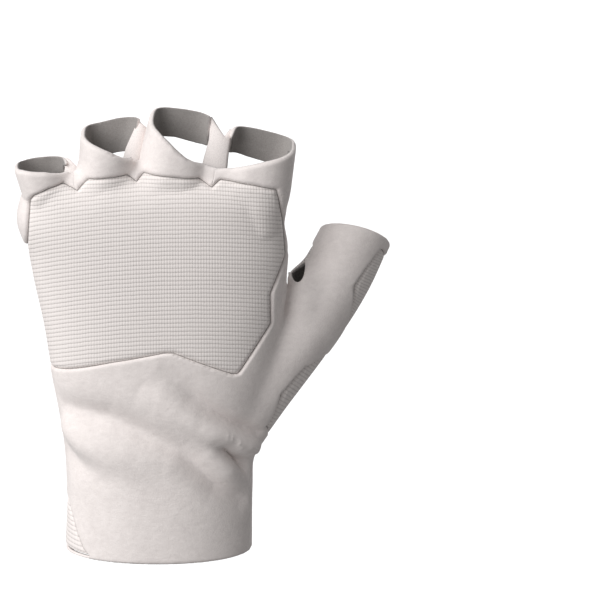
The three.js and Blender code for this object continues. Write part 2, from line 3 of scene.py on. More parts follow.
import bpy
import numpy as np
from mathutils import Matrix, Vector


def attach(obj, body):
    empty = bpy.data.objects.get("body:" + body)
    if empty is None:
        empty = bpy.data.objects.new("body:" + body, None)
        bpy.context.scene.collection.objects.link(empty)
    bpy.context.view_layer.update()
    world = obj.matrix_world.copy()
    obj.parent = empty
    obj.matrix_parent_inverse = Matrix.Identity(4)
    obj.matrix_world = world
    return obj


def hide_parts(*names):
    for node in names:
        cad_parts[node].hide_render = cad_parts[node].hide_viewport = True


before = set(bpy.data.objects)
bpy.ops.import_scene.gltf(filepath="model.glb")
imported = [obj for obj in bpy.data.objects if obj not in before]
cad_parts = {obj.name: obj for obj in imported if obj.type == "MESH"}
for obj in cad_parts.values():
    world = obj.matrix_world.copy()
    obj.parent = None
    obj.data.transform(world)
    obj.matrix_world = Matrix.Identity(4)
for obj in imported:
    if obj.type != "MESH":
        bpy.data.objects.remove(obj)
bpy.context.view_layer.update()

METRE = 0.001

# Outside sizes, as in the solids
WRIST_WIDTH = 64.5
WRIST_DEPTH = 41.0
KNUCKLE_WIDTH = 94.0
KNUCKLE_DEPTH = 27.0
KNUCKLE_HEIGHT = 134.0
THUMB_REACH = 68.0
THUMB_LEAN = 19.0
THUMB_HEIGHT = 105.0
THUMB_WIDTH = 25.0
THUMB_DEPTH = 25.0
THUMB_HEM = 3.4
HEM_DROP = 1.2
HALF_WRIST = WRIST_WIDTH / 2
HALF_KNUCKLES = KNUCKLE_WIDTH / 2

# Walls
SUEDE_WALL = 1.6
LINING_WALL = 1.0
GAP = 0.3

# Stage: the camera looks down a little at the back of the glove
CAMERA_TILT = 17.0
CAMERA_LENS = 600.0
CAMERA_SENSOR = 36.0
VIEW_WIDTH = 207.0
VIEW_MIDDLE = (48.8, 83.8)
CAMERA_REACH = 200.0
FLOOR_DROP = -300.0
FLOOR_HALF = 40000.0
FLOOR_GRAIN = 300.0
KEY_TOWARD = (-0.67, -0.51, 0.54)
KEY_POWER = 3.2
KEY_SPREAD = 52.0
PALM_LIGHT_TOWARD = (0.1, 1.0, 0.2)
PALM_LIGHT_POWER = 1.6
ROOM_POWER = 0.26
FLOOR_GLOW = 0.3

# Fineness of the hand's form, and how much it is smoothed
VOXEL = 0.75
HAND_AROUND = 96
TUBE_AROUND = 64
WEB_AROUND = 32
WEB_STEPS = 15
FLOOR_STEPS = 9
CHUNK = 20000
STRAP_ACROSS = 17
SMOOTH_ROUNDS = 12
SMOOTH_OUT = 0.5
SMOOTH_BACK = -0.52
CUT_MARGIN = 0.02
SCRAP_POINTS = 600

# Fillet between hand and thumb, which starts above the wrist
FILLET_ROUNDS = 60
FILLET_REACH = 7.0
FILLET_STRENGTH = 1.2
FILLET_START = 20.0
FILLET_FULL = 36.0

# Easing of the webs between the fingers
WEB_ROUNDS = 90
WEB_TALL = 14.0
WEB_TILTS = (-0.45, 0.49)
WEB_BLUNT = 0.5
WEB_MARGIN = 2.0
WEB_HIGHEST = 138.0
WEB_SINK = 4.0
WEB_REACH = 9.0
WEB_REAR = 4.0

# Way from the back to the palm over which the rims of the loops change, and a distance beyond all edges
SIDE_BLEND = 7.0
FAR = 99.0

# Colours of the cloths and of the floor, and the painted shade of the knits' grooves and seams
SUEDE_LIGHT = (0.89, 0.825, 0.80)
SUEDE_DARK = (0.74, 0.68, 0.66)
INSIDE_LIGHT = (0.37, 0.345, 0.33)
INSIDE_DARK = (0.27, 0.25, 0.24)
GREY_LIGHT = (0.285, 0.27, 0.26)
GREY_DARK = (0.20, 0.188, 0.18)
KNIT_LIGHT = (0.88, 0.82, 0.795)
# Painted shade: the knit's colour in the grooves between its ribs
KNIT_GROOVE_SHADE = (0.52, 0.48, 0.46)
STRAP_LIGHT = (0.25, 0.235, 0.225)
STRAP_DARK = (0.17, 0.16, 0.152)
GREY_STITCH = (0.035, 0.032, 0.03)
TRIM_LIGHT = (0.72, 0.69, 0.66)
TRIM_DARK = (0.6, 0.57, 0.55)
PILE_LIGHT = (0.012, 0.011, 0.012)
PILE_DARK = (0.004, 0.004, 0.004)
TAPE_LIGHT = (0.016, 0.014, 0.015)
TAPE_DARK = (0.006, 0.005, 0.006)
# Painted shadow along the knits' seams, where the neighbouring piece's edge overlaps them
SEAM_SHADE = (0.25, 0.25, 0.25)
FLOOR_LIGHT = (0.95, 0.95, 0.95)
FLOOR_DARK = (0.93, 0.93, 0.93)
WHITE = (1.0, 1.0, 1.0)

# Patterns of the cloths: grains, stitches, ribs and the courses across them
FINE_GRAIN = 0.4
NAP_GRAIN = 1.6
CLOUD_GRAIN = 9.0
KNIT_GRAIN = 0.3
KNIT_CLOUD = 14.0
WOBBLE_GRAIN = 5.0
PLAIN_CLOUD = 12.0
RIB_WOBBLE = 0.4
STITCH_BOX = 7.4
STITCH_LOW = 1.5
STITCH_THICK = 0.3
STITCH_GAP = -0.3
STITCH_PITCH = 1.7
RIB_PITCH = 1.5
THUMB_RIB_PITCH = 1.05
COURSE_PITCH = 0.95

# Plain cloths: light and dark colour, grain, depth of the relief, roughness and sheen
PLAIN = {
    "lining_cloth": (GREY_LIGHT, GREY_DARK, 0.6, 0.15, 0.92, 0.1),
    "trim_cloth": (TRIM_LIGHT, TRIM_DARK, 0.5, 0.12, 0.92, 0.1),
    "loop_cloth": (PILE_LIGHT, PILE_DARK, 0.7, 0.6, 0.9, 0.05),
    "hook_cloth": (TAPE_LIGHT, TAPE_DARK, 0.5, 0.2, 0.7, 0.0),
}


def table(names, *rows):
    """Columns of a table by name."""
    columns = zip(*rows)
    return {name: np.array(column, dtype=float) for name, column in zip(names.split(), columns)}


# Columns of a cut surface: after place and normal comes the distance to a free edge, then the fields
# for the material, and last the outer height of a ribbed piece
EDGE_COLUMN = 6
FIRST_FIELD = 7
FIELD_NAMES = ("rib", "run", "seam")
HEIGHT_FIELD = 10

# Cross-sections of the hand from the wrist up, as shares of its sizes: see body_sizes
BODY = table(
    "up little thumb back palm square",
    (0.00, 0.00, 0.00, 0.00, 0.00, 2.1),
    (0.16, -0.05, 0.02, 0.10, 0.02, 2.1),
    (0.27, 0.00, 0.08, 0.20, 0.05, 2.2),
    (0.36, 0.12, 0.27, 0.24, 0.12, 2.2),
    (0.45, 0.27, 0.46, 0.22, 0.25, 2.3),
    (0.60, 0.48, 0.70, 0.26, 0.35, 2.4),
    (0.71, 0.69, 0.84, 0.32, 0.45, 2.4),
    (0.79, 0.83, 0.86, 0.38, 0.52, 2.5),
    (0.87, 1.07, 0.80, 0.50, 0.62, 2.5),
    (0.95, 0.94, 0.88, 0.78, 0.82, 2.6),
    (1.00, 0.94, 0.97, 1.00, 1.00, 2.6),
    (1.10, 1.00, 1.02, 1.10, 1.10, 2.6),
)

# Cross-sections of the thumb sleeve from inside the hand to its opening, as in the solids
THUMB = table(
    "place x y z wide deep drop lean",
    (0, 0.29, 0.10, 0.28, 0.88, 1.05, 10, 0),
    (1, 0.44, 0.22, 0.48, 1.12, 1.12, 25, 5),
    (2, 0.625, 0.42, 0.645, 1.15, 1.08, 27, 12),
    (3, 0.778, 0.63, 0.77, 1.12, 1.04, 24, 20),
    (4, 0.897, 0.82, 0.875, 1.05, 1.00, 17, 28),
    (5, 1.00, 1.00, 1.00, 0.99, 0.98, 12.6, 35),
)

# The body's lowest and highest full section, and the sections that close it at the knuckles
BODY_LOW = -6.0
BODY_SHOULDER = 124.0
BODY_STEPS = 66
CAP_NARROWS = 0.4
BODY_CAP = table(
    "z shrink", (126.0, 0.985), (128.0, 0.95), (129.5, 0.88), (130.5, 0.74), (131.2, 0.5),
)

# Ends and steps of the thumb's and the fingers' tubes, and the roundness of the fingers
THUMB_STEPS = 41
THUMB_PLACES = 81
THUMB_PAST = 5.0
FINGER_LOW = 114.0
FINGER_HIGH = 160.0
FINGER_STEPS = 24
FINGER_STRETCH = (-0.8, 1.4)
FINGER_FOOT_SHARE = 0.9
FINGER_FOOT_TOP = 128.0
FINGER_TURN = (130.0, 148.0)
FINGER_SQUARE = 2.6
PALM_SQUARE = 3.6
BACK_SQUARE = 2.15

# Fingers that the loops go round: sides at the foot and at the rim, half depths, and the
# heights of both ends
FINGERS = table(
    "foot0 foot1 rim0 rim1 back palm foot rim",
    (-46.4, -28.2, -49.4, -30.0, 11.0, 10.0, 127.0, 137.0),
    (-27.0, -7.6, -25.9, -5.0, 12.5, 11.0, 133.0, 148.0),
    (-7.2, 19.0, -2.6, 20.0, 13.0, 11.0, 134.0, 152.0),
    (19.2, 46.2, 24.3, 47.9, 13.0, 11.0, 131.0, 145.0),
)
FINGER_NAMES = ("little", "ring", "middle", "index")

# Upper edge of the suede on the back, upper edge of the palm bands and their lower edge, in x and z
BACK_RIMS = (
    ((-49.2, 135.0), (-45.5, 136.2), (-38.0, 136.0), (-30.5, 134.2), (-28.0, 134.6)),
    ((-26.2, 146.5), (-23.4, 146.2), (-20.0, 145.2), (-15.9, 143.6), (-10.7, 140.7), (-8.0, 139.4)),
    ((-2.2, 151.7), (0.8, 150.0), (4.2, 147.2), (7.2, 144.2), (10.1, 141.5), (13.1, 139.7), (15.8, 138.7),
     (19.5, 137.6), (22.0, 137.3)),
    ((22.0, 137.3), (25.9, 137.4), (28.8, 138.2), (33.0, 139.3), (37.4, 140.4), (41.9, 141.1), (45.7, 141.8),
     (47.8, 142.3)),
)
PALM_RIMS = (
    ((-49.2, 135.8), (-45.5, 135.4), (-40.6, 136.0), (-36.1, 136.4), (-33.1, 136.7), (-30.0, 136.6)),
    ((-26.2, 147.5), (-23.8, 147.6), (-19.7, 148.1), (-13.7, 149.6), (-6.9, 150.6), (-4.9, 150.2)),
    ((-2.2, 152.8), (0.2, 153.8), (3.0, 153.6), (9.4, 152.8), (15.0, 151.8), (18.0, 151.0), (20.0, 150.2)),
    ((24.4, 147.2), (25.9, 147.7), (28.9, 147.0), (34.5, 145.8), (42.0, 143.9), (45.7, 143.2), (47.8, 143.1)),
)
PALM_FEET = (
    ((-48.5, 115.0), (-46.0, 118.0), (-41.0, 122.0), (-36.0, 125.0), (-31.0, 128.5), (-28.0, 133.0)),
    ((-26.5, 133.0), (-24.0, 134.6), (-20.0, 136.0), (-13.3, 137.7), (-9.4, 138.6), (-6.5, 140.0)),
    ((-4.0, 139.0), (0.8, 143.4), (6.0, 143.0), (10.2, 141.8), (13.5, 141.0), (19.5, 140.6)),
    ((22.5, 138.9), (27.0, 137.7), (30.7, 136.1), (34.5, 134.9), (39.0, 133.6), (43.5, 131.0), (47.0, 126.0)),
)

# Where the loops end and the back begins: x and z along the back
LOOP_FEET = (
    (-60.0, 124.5), (-47.0, 125.0), (-42.8, 125.2), (-41.0, 124.5), (-38.0, 126.0), (-28.0, 125.0),
    (-15.0, 130.0), (-7.0, 128.5), (4.0, 131.0), (18.8, 126.5), (33.0, 128.5), (41.0, 127.5), (48.0, 130.5),
    (60.0, 130.0),
)

# Webs between two fingers, and between hand and thumb: middle, top and half widths
WEBS = table(
    "x y top wide deep",
    (-28.0, -3.6, 135.2, 5.6, 5.6),
    (-7.2, -3.8, 137.6, 5.6, 6.0),
    (21.4, -3.4, 150.0, 6.0, 6.4),
    (48.8, 6.5, 98.5, 6.5, 7.5),
)

# Parts of the loops' walls that the straps stand in for: loops from and to, middle, half width,
# depths and heights. The last two rows take away the webs behind the straps.
GAPS = table(
    "first last x wide front rear low high",
    (0, 0, -28.0, 3.4, -4.0, 6.0, 131.0, 160.0),
    (1, 1, -8.2, 3.8, -5.5, 6.0, 138.2, 160.0),
    (2, 3, 20.8, 4.9, -6.4, 6.5, 126.0, 160.0),
    (0, 1, -27.6, 4.6, -2.5, 6.0, 120.0, 134.2),
    (1, 2, -8.0, 5.2, -2.5, 6.0, 120.0, 138.0),
)

# Folds and swells of the back, each a line of points with height (below 0 for a valley) and half
# width, how much all are raised, and the easing of the sharpest crease
FOLD_GAIN = 1.25
FOLD_ROUNDS = 6
BACK_FACING = (0.1, 0.7)
BACK_DEPTH = 6.0
CREASE_X = 30.0
CREASE_Z = 40.0
CREASE_WIDE = 7.0
CREASE_TALL = 9.0
CREASE_STRENGTH = 1.3
CREASE_FADE = 2.0
CREASE_ROUNDS = 8
CREASE_NORMAL_ROUNDS = 30
FOLDS = [table("x z rise wide", *rows) for rows in (
    (
        (-1.0, 69.0, 0.0, 6.5), (5.9, 62.0, -1.0, 6.0), (11.4, 57.0, -2.4, 4.8), (16.9, 52.8, -3.0, 4.4),
        (22.4, 49.0, -3.4, 3.8), (27.9, 45.2, -3.4, 3.4), (34.0, 40.5, -3.0, 3.0),
    ),
    (
        (-6.0, 61.0, 0.0, 5.0), (0.9, 58.6, 1.2, 5.0), (5.9, 55.0, 1.8, 5.0), (11.4, 51.2, 2.2, 4.6),
        (16.9, 47.4, 2.5, 4.2), (22.4, 43.8, 2.8, 3.8), (27.9, 40.0, 3.2, 3.4), (36.0, 35.4, 3.6, 3.2),
    ),
    (
        (-34.0, 51.5, -1.2, 5.5), (-26.0, 51.2, -2.2, 5.6), (-17.2, 50.2, -2.6, 5.4), (-7.9, 46.6, -2.6, 5.2),
        (-0.2, 42.8, -2.6, 5.0), (7.6, 38.4, -2.8, 5.0), (13.0, 33.2, -3.0, 5.0), (20.7, 25.6, -3.2, 4.8),
        (29.0, 19.2, -2.2, 4.6),
    ),
    (
        (-34.0, 47.0, 1.6, 5.0), (-30.0, 44.6, 2.2, 5.2), (-24.4, 40.0, 2.4, 5.6), (-16.1, 37.0, 1.8, 6.2),
        (-7.9, 35.4, 1.0, 6.5), (2.0, 34.4, 0.3, 6.5),
    ),
    (
        (-34.0, 39.5, -1.8, 4.2), (-28.2, 35.0, -1.8, 4.4), (-24.9, 31.8, -1.3, 4.6),
        (-21.0, 28.0, -0.5, 5.0),
    ),
    (
        (20.4, 41.0, -0.8, 2.2), (23.0, 38.6, -3.4, 2.3), (27.5, 33.4, -4.6, 2.5), (33.0, 25.5, -3.6, 2.8),
    ),
    ((18.0, 34.6, 0.6, 3.6), (24.0, 29.6, 1.4, 3.6), (31.0, 22.5, 1.0, 3.6)),
)]

# Outlines and edges seen from the back, in x and z, with the corners that close the edges
PANEL = (
    (-60.0, 57.0), (-37.4, 58.5), (-35.4, 65.0), (-16.0, 70.2), (2.6, 74.0), (5.6, 74.0), (25.6, 65.6),
    (27.4, 65.6), (28.8, 67.4), (38.3, 82.0), (38.3, 93.0),
    (43.2, 105.0), (42.2, 118.0), (41.2, 126.4), (40.4, 130.4),
    (33.0, 132.2), (21.6, 133.6), (18.8, 130.8), (14.0, 134.1), (4.3, 135.1), (-4.0, 135.3),
    (-6.8, 132.4), (-10.6, 135.0), (-17.4, 134.5), (-22.8, 133.6), (-26.8, 129.4),
    (-32.2, 131.6), (-37.0, 130.3), (-41.5, 127.9), (-42.6, 126.0), (-43.2, 119.0),
    (-43.8, 108.0), (-43.2, 100.0), (-60.0, 97.0),
)
WRAP_CORNERS = ((21.0, 20.0), (-90.0, 20.0), (-90.0, 107.0))
WRAP_EDGE = (
    (-61.0, 107.0), (-43.7, 88.5), (-40.0, 80.0), (-33.0, 66.0), (-26.0, 58.5), (-13.5, 50.0),
    (6.0, 40.0), (21.0, 27.0),
)
PALM_CORNERS = ((-70.0, 160.0), (-70.0, -14.0))
PALM_EDGE = (
    (33.0, -14.0), (33.0, 32.0), (34.8, 40.0), (38.0, 50.0), (42.3, 64.0), (44.6, 79.0),
    (45.0, 92.0), (47.0, 99.0), (52.0, 107.0), (52.0, 160.0),
)
GUSSET = (
    (-22.8, -0.3), (-24.8, 2.0), (-26.8, 7.0), (-28.4, 13.0), (-29.8, 17.5), (-31.4, 21.7), (-90.0, 21.7),
    (-90.0, -0.3),
)

# Seam of the thumb's ribbed side, seen from the side, in y and z
THUMB_SEAM = (
    (5.7, 35.7), (-3.4, 44.1), (-3.9, 55.8), (-1.5, 61.7), (-0.3, 64.2), (4.5, 66.0), (9.8, 67.0),
    (10.4, 74.0), (8.8, 80.0), (8.0, 85.2), (7.4, 90.6), (10.0, 96.5), (12.2, 100.0), (13.6, 102.0),
    (90.0, 102.0), (90.0, 35.7),
)
THUMB_SEAM_X = 10.0
THUMB_NEAR = 4.0
THUMB_FROM_X = 46.0
NO_THUMB = 50.0

# Depths at which the back, its lining and the flap end, and the side place where the binding ends
SIDE_TURN = 3.0
LINING_TURN = 0.3
FLAP_TURN = 7.5
BINDING_END = 24.0

# Opening between hand and thumb
NOTCH_X = 48.0
NOTCH_Z = 101.5
NOTCH_WIDE = 3.3
NOTCH_TALL = 8.4
NOTCH_DEEP = 11.5

# Ribs of the knits: how they tilt and bow across a piece, and millimetres for each place on the thumb
PANEL_TILT = 0.305
PANEL_SLOPE = 0.045
PANEL_BOW = 0.0015
WRAP_SLOPE = 0.12
GUSSET_SLOPE = 0.1
THUMB_STEP = 16.5

# Ribbed pieces: how far they stand out at their seam, how much further inside it, and from and to where
RIBBED_ROOT = -0.1
RIBBED = {
    "back_panel": (0.4, 0.95, -0.3, 1.4),
    "thumb_side_panel": (0.3, 0.9, -0.3, 1.3),
    "palm_wrap": (0.2, 0.7, -0.2, 1.0),
    "cuff_gusset": (0.3, 1.1, -0.3, 1.0),
}

# How far cloth runs on under its neighbour
PANEL_UNDER = 1.4
THUMB_UNDER = 1.0
WRAP_UNDER = 1.0
WRAP_UNDER_GUSSET = 0.5
GUSSET_UNDER = 0.8
LINING_BELOW_RIM = 2.0
LINING_ABOVE_HEM = 0.4
LINING_OFF_NOTCH = 1.0

# Binding of the wrap: its reach to both sides of the edge, and its wall
BINDING_OUT = 1.9
BINDING_IN = 0.5
BINDING_WALL = (-0.2, 1.7)

# Flap and patch on the heel of the hand: outline as shares of width and height, and their walls
FLAP_LEFT = -30.65
FLAP_WIDTH = 47.0
FLAP_HEIGHT = 32.0
FLAP_WALL = (1.3, 2.8)
PATCH_WALL = (2.6, 4.3)
PATCH_BORDER = 1.2
FLAP = table(
    "x z",
    (0.06, 0.98), (0.60, 0.95), (0.95, 1.00), (1.00, 0.62), (0.98, 0.30), (0.76, 0.11), (0.55, 0.03),
    (0.00, 0.01), (0.03, 0.45),
)

FLAP_LINE = tuple(zip(FLAP_LEFT + FLAP_WIDTH * FLAP["x"], FLAP_HEIGHT * FLAP["z"]))

# Tab: length, height of the ring that it follows, where it starts, how far out it lies at both ends,
# and its outline in lengths along it and heights
TAB_LENGTH = 42.0
TAB_LIFT = 12.0
TAB_START = math.radians(22)
TAB_OUT = (1.9, 4.6)
TAB_CLIMB = 0.4
TAB_LOW = 9.5
TAB_TOP = 31.0
TAB_WALL = 1.4
TAB_ANGLES = 721
TAB_STEPS = 100
TAB_ROWS = 52
TAB_OUTLINE = (
    (0.0, 14.4), (4.2, 13.6), (12.6, 12.0), (25.0, 10.7), (34.0, 10.3), (38.6, 10.9), (42.0, 16.4),
    (36.6, 25.7), (25.0, 26.6), (12.6, 28.3), (4.2, 29.8), (0.0, 30.4),
)

# Straps between the fingers, from the palm bands to the lining: depth and height of the middle
# line, then the little and thumb side edges
STRAPS = {
    "ring_little": (
        (8.0, 139.0, -31.0, -26.4), (5.5, 135.6, -31.0, -26.2), (1.5, 132.5, -31.4, -26.0),
        (-3.0, 129.0, -32.4, -25.6), (-7.0, 124.0, -33.2, -25.4),
    ),
    "middle_ring": (
        (8.8, 150.4, -6.0, -4.4), (7.6, 146.6, -7.2, -3.7), (4.6, 142.6, -9.3, -4.6),
        (1.2, 140.0, -10.7, -5.4), (-2.6, 136.6, -11.6, -5.8), (-6.4, 131.0, -12.4, -5.8),
        (-9.6, 124.0, -13.2, -5.8),
    ),
    "index_middle": (
        (8.4, 151.5, 18.6, 25.4), (8.0, 147.2, 18.2, 25.4), (5.6, 143.2, 17.9, 25.0),
        (2.4, 140.4, 17.0, 24.5), (-0.8, 137.6, 16.0, 24.1), (-4.2, 133.6, 15.0, 23.6),
        (-7.4, 128.4, 14.0, 22.6), (-9.8, 123.0, 12.8, 21.4),
    ),
}
STRAP_FEET = {
    "ring_little": (
        (118.0, -33.4, -25.6), (112.0, -32.8, -25.0), (105.0, -31.4, -23.6), (98.6, -30.2, -22.2),
    ),
    "middle_ring": ((118.0, -13.6, -6.0), (113.0, -13.2, -5.6), (108.0, -12.6, -5.0), (102.7, -12.0, -4.4)),
    "index_middle": ((118.0, 11.6, 19.8), (113.0, 10.4, 18.2), (108.0, 9.2, 16.8), (102.7, 8.2, 15.6)),
}
STRAP_TOPS = {
    "ring_little": ((-31.2, 136.8), (-29.6, 136.2), (-26.4, 133.2)),
    "middle_ring": ((-6.4, 149.8), (-3.4, 146.4)),
    "index_middle": ((18.4, 151.0), (22.9, 144.4), (25.6, 147.2)),
}
STRAP_WALL = 1.0
STRAP_STEPS = 70
STRAP_OFF = 1.2
STRAP_BOW = 0.9
STRAP_BOW_UP = 0.6
STRAP_CORNER = 2.4


def at(columns, key, name, place):
    """Smooth value of one column at places along another."""
    keys = columns[key]
    values = columns[name]
    slopes = np.gradient(values, keys)
    place = np.clip(place, keys[0], keys[-1])
    low = np.clip(np.searchsorted(keys, place, side="right") - 1, 0, len(keys) - 2)
    span = keys[low + 1] - keys[low]
    share = (place - keys[low]) / span
    return (
        (2 * share ** 3 - 3 * share ** 2 + 1) * values[low]
        + (share ** 3 - 2 * share ** 2 + share) * span * slopes[low]
        + (3 * share ** 2 - 2 * share ** 3) * values[low + 1]
        + (share ** 3 - share ** 2) * span * slopes[low + 1]
    )


def mix(start, end, share):
    return start + (end - start) * share


def smooth_step(low, high, value):
    share = np.clip((value - low) / (high - low), 0, 1)
    return share * share * (3 - 2 * share)


def power(value, square):
    """A cosine or sine raised to a superellipse's power, keeping its sign."""
    return np.sign(value) * np.abs(value) ** (2 / square)


def body_sizes(z):
    """Half sizes of the hand at a height: little side, thumb side, back, palm and roundness."""
    up = z / KNUCKLE_HEIGHT
    half = [mix(HALF_WRIST, HALF_KNUCKLES, at(BODY, "up", name, up)) for name in ("little", "thumb")]
    deep = [mix(WRIST_DEPTH / 2, KNUCKLE_DEPTH / 2, at(BODY, "up", name, up)) for name in ("back", "palm")]
    return half[0], half[1], deep[0], deep[1], at(BODY, "up", "square", up)


def body_points(angle, z, out):
    """Points of the hand's outside at angles, 0 at the thumb side and 90 degrees at the palm."""
    little, thumb, back, palm, square = body_sizes(z)
    across = power(np.cos(angle), square)
    over = power(np.sin(angle), square)
    x = across * (np.where(across > 0, thumb, little) + out)
    y = over * (np.where(over > 0, palm, back) + out)
    return np.stack([x, y, z + 0 * x], axis=-1)


def body_ring(z, out):
    angle = np.linspace(0, 2 * math.pi, HAND_AROUND, endpoint=False)
    return body_points(angle, np.full(HAND_AROUND, z), out)


def thumb_frame(place):
    """Middle, side and palm directions and half sizes of the thumb sleeve along its length."""
    middle = np.stack([
        at(THUMB, "place", "x", place) * THUMB_REACH,
        at(THUMB, "place", "y", place) * THUMB_LEAN,
        at(THUMB, "place", "z", place) * THUMB_HEIGHT,
    ], axis=-1)
    drop = np.radians(at(THUMB, "place", "drop", place))
    lean = np.radians(at(THUMB, "place", "lean", place))
    side = np.stack([np.cos(drop), 0 * drop, -np.sin(drop)], axis=-1)
    palm = np.stack([0 * lean, np.cos(lean), -np.sin(lean)], axis=-1)
    wide = at(THUMB, "place", "wide", place) * THUMB_WIDTH / 2
    deep = at(THUMB, "place", "deep", place) * THUMB_DEPTH / 2
    return middle, side, palm, wide, deep


def loft(rings):
    """Closed mesh through rings of points, with a fan at each end: points and triangles."""
    rings = np.array(rings)
    rows, around, _ = rings.shape
    points = np.concatenate([rings.reshape(-1, 3), rings[[0, -1]].mean(axis=1)])
    step = np.arange(around)
    after = (step + 1) % around
    faces = []
    for row in range(rows - 1):
        low = row * around
        high = low + around
        faces.append(np.stack([low + step, low + after, high + after], axis=1))
        faces.append(np.stack([low + step, high + after, high + step], axis=1))
    first = np.full(around, rows * around)
    top = (rows - 1) * around
    faces.append(np.stack([first, after, step], axis=1))
    faces.append(np.stack([first + 1, top + step, top + after], axis=1))
    return points, np.concatenate(faces)


def body_form(out):
    rings = [body_ring(z, out) for z in np.linspace(BODY_LOW, BODY_SHOULDER, BODY_STEPS)]
    for z, shrink in zip(*BODY_CAP.values()):
        rings.append(body_ring(z, out))
        rings[-1][:, :2] *= (1 - (1 - shrink) * CAP_NARROWS, shrink)
    return loft(rings)


def thumb_form(out):
    rings = []
    angle = np.linspace(0, 2 * math.pi, TUBE_AROUND, endpoint=False)
    for place in np.linspace(0, THUMB["place"][-1], THUMB_STEPS):
        middle, side, palm, wide, deep = thumb_frame(np.array(place))
        across = np.outer(np.cos(angle) * (wide + out), side)
        over = np.outer(np.sin(angle) * (deep + out), palm)
        rings.append(middle + across + over)
    ahead = np.cross(side, palm)
    rings.append(rings[-1] + THUMB_PAST * ahead)
    return loft(rings)


def finger_plan(index, z):
    """Middle and half sizes of a finger's tube at heights."""
    row = {name: column[index] for name, column in FINGERS.items()}
    share = (z - row["foot"]) / (row["rim"] - row["foot"])
    share = np.clip(share, *FINGER_STRETCH)
    left = mix(row["foot0"], row["rim0"], share)
    right = mix(row["foot1"], row["rim1"], share)
    return (left + right) / 2, (right - left) / 2, row["back"], row["palm"]


def finger_form(index, out):
    angle = np.linspace(0, 2 * math.pi, TUBE_AROUND, endpoint=False)
    rings = []
    for z in np.linspace(FINGER_LOW, FINGER_HIGH, FINGER_STEPS):
        middle, half, back, palm = finger_plan(index, z)
        half = half * mix(FINGER_FOOT_SHARE, 1.0, float(smooth_step(FINGER_LOW, FINGER_FOOT_TOP, z)))
        turn = float(smooth_step(*FINGER_TURN, z))
        palm_square = mix(FINGER_SQUARE, PALM_SQUARE, turn)
        back_square = mix(FINGER_SQUARE, BACK_SQUARE, turn)
        square = np.where(np.sin(angle) > 0, palm_square, back_square)
        across = power(np.cos(angle), square)
        over = power(np.sin(angle), square)
        x = middle + across * (half + out)
        y = over * (np.where(over > 0, palm, back) + out)
        rings.append(np.stack([x, y, np.full(TUBE_AROUND, z)], axis=1))
    return loft(rings)


def web_form(row):
    """Rounded fill between two fingers."""
    x, y, top, wide, deep = row
    angle = np.linspace(0, 2 * math.pi, WEB_AROUND, endpoint=False)
    rings = []
    for tilt in np.linspace(*WEB_TILTS, WEB_STEPS) * math.pi:
        flat = math.cos(tilt) ** WEB_BLUNT
        height = top - SUEDE_WALL - WEB_TALL + WEB_TALL * math.sin(tilt)
        rings.append(np.stack([
            x + np.cos(angle) * wide * flat,
            y + np.sin(angle) * deep * flat,
            np.full(WEB_AROUND, height),
        ], axis=1))
    return loft(rings)


def make_mesh(name, points, faces):
    """New object from points in millimetres and triangles."""
    mesh = bpy.data.meshes.new(name)
    corners = faces.shape[1]
    mesh.vertices.add(len(points))
    mesh.vertices.foreach_set("co", (points * METRE).astype(np.float32).ravel())
    mesh.loops.add(faces.size)
    mesh.loops.foreach_set("vertex_index", faces.astype(np.int32).ravel())
    mesh.polygons.add(len(faces))
    mesh.polygons.foreach_set("loop_start", np.arange(0, faces.size, corners, dtype=np.int32))
    mesh.polygons.foreach_set("use_smooth", np.ones(len(faces), dtype=bool))
    mesh.update()
    mesh.validate()
    shape = bpy.data.objects.new(name, mesh)
    bpy.context.scene.collection.objects.link(shape)
    return shape


def remeshed(parts, voxel):
    """One skin round several closed forms: points and triangles."""
    count = 0
    points = []
    faces = []
    for part_points, part_faces in parts:
        points.append(part_points)
        faces.append(part_faces + count)
        count += len(part_points)
    shape = make_mesh("forms", np.concatenate(points), np.concatenate(faces))
    modifier = shape.modifiers.new("skin", "REMESH")
    modifier.mode = "VOXEL"
    modifier.voxel_size = voxel * METRE
    result = shape.evaluated_get(bpy.context.evaluated_depsgraph_get()).to_mesh()
    result.calc_loop_triangles()
    skin_points = np.empty(len(result.vertices) * 3, dtype=np.float32)
    result.vertices.foreach_get("co", skin_points)
    skin_faces = np.empty(len(result.loop_triangles) * 3, dtype=np.int32)
    result.loop_triangles.foreach_get("vertices", skin_faces)
    bpy.data.objects.remove(shape)
    return skin_points.reshape(-1, 3).astype(float) / METRE, skin_faces.reshape(-1, 3)


def neighbours(faces):
    """Both ends of every edge, each way."""
    pairs = np.concatenate([faces[:, [0, 1]], faces[:, [1, 2]], faces[:, [2, 0]]])
    pairs = np.unique(np.sort(pairs, axis=1), axis=0)
    return np.concatenate([pairs, pairs[:, ::-1]])


def pull(points, pairs):
    """Way from each point to the middle of its neighbours."""
    count = np.bincount(pairs[:, 0], minlength=len(points))[:, None]
    total = np.stack([
        np.bincount(pairs[:, 0], weights=points[pairs[:, 1], axis], minlength=len(points))
        for axis in range(3)
    ], axis=1)
    return total / count - points


def smoothed(points, faces, rounds):
    """Points moved toward the middle of their neighbours, out and back so that the form keeps its size."""
    pairs = neighbours(faces)
    for _ in range(rounds):
        points = points + SMOOTH_OUT * pull(points, pairs)
        points = points + SMOOTH_BACK * pull(points, pairs)
    return points


def filleted(points, faces, rounds, weight):
    """Points smoothed for good where the weight is above 0."""
    pairs = neighbours(faces)
    for _ in range(rounds):
        points = points + SMOOTH_OUT * weight[:, None] * pull(points, pairs)
    return points


def normals_of(points, faces):
    corner = points[faces]
    normal = np.cross(corner[:, 1] - corner[:, 0], corner[:, 2] - corner[:, 0])
    total = np.stack([
        np.bincount(faces.ravel(), weights=np.repeat(normal[:, axis], 3), minlength=len(points))
        for axis in range(3)
    ], axis=1)
    return total / np.maximum(np.linalg.norm(total, axis=1, keepdims=True), 1e-12)


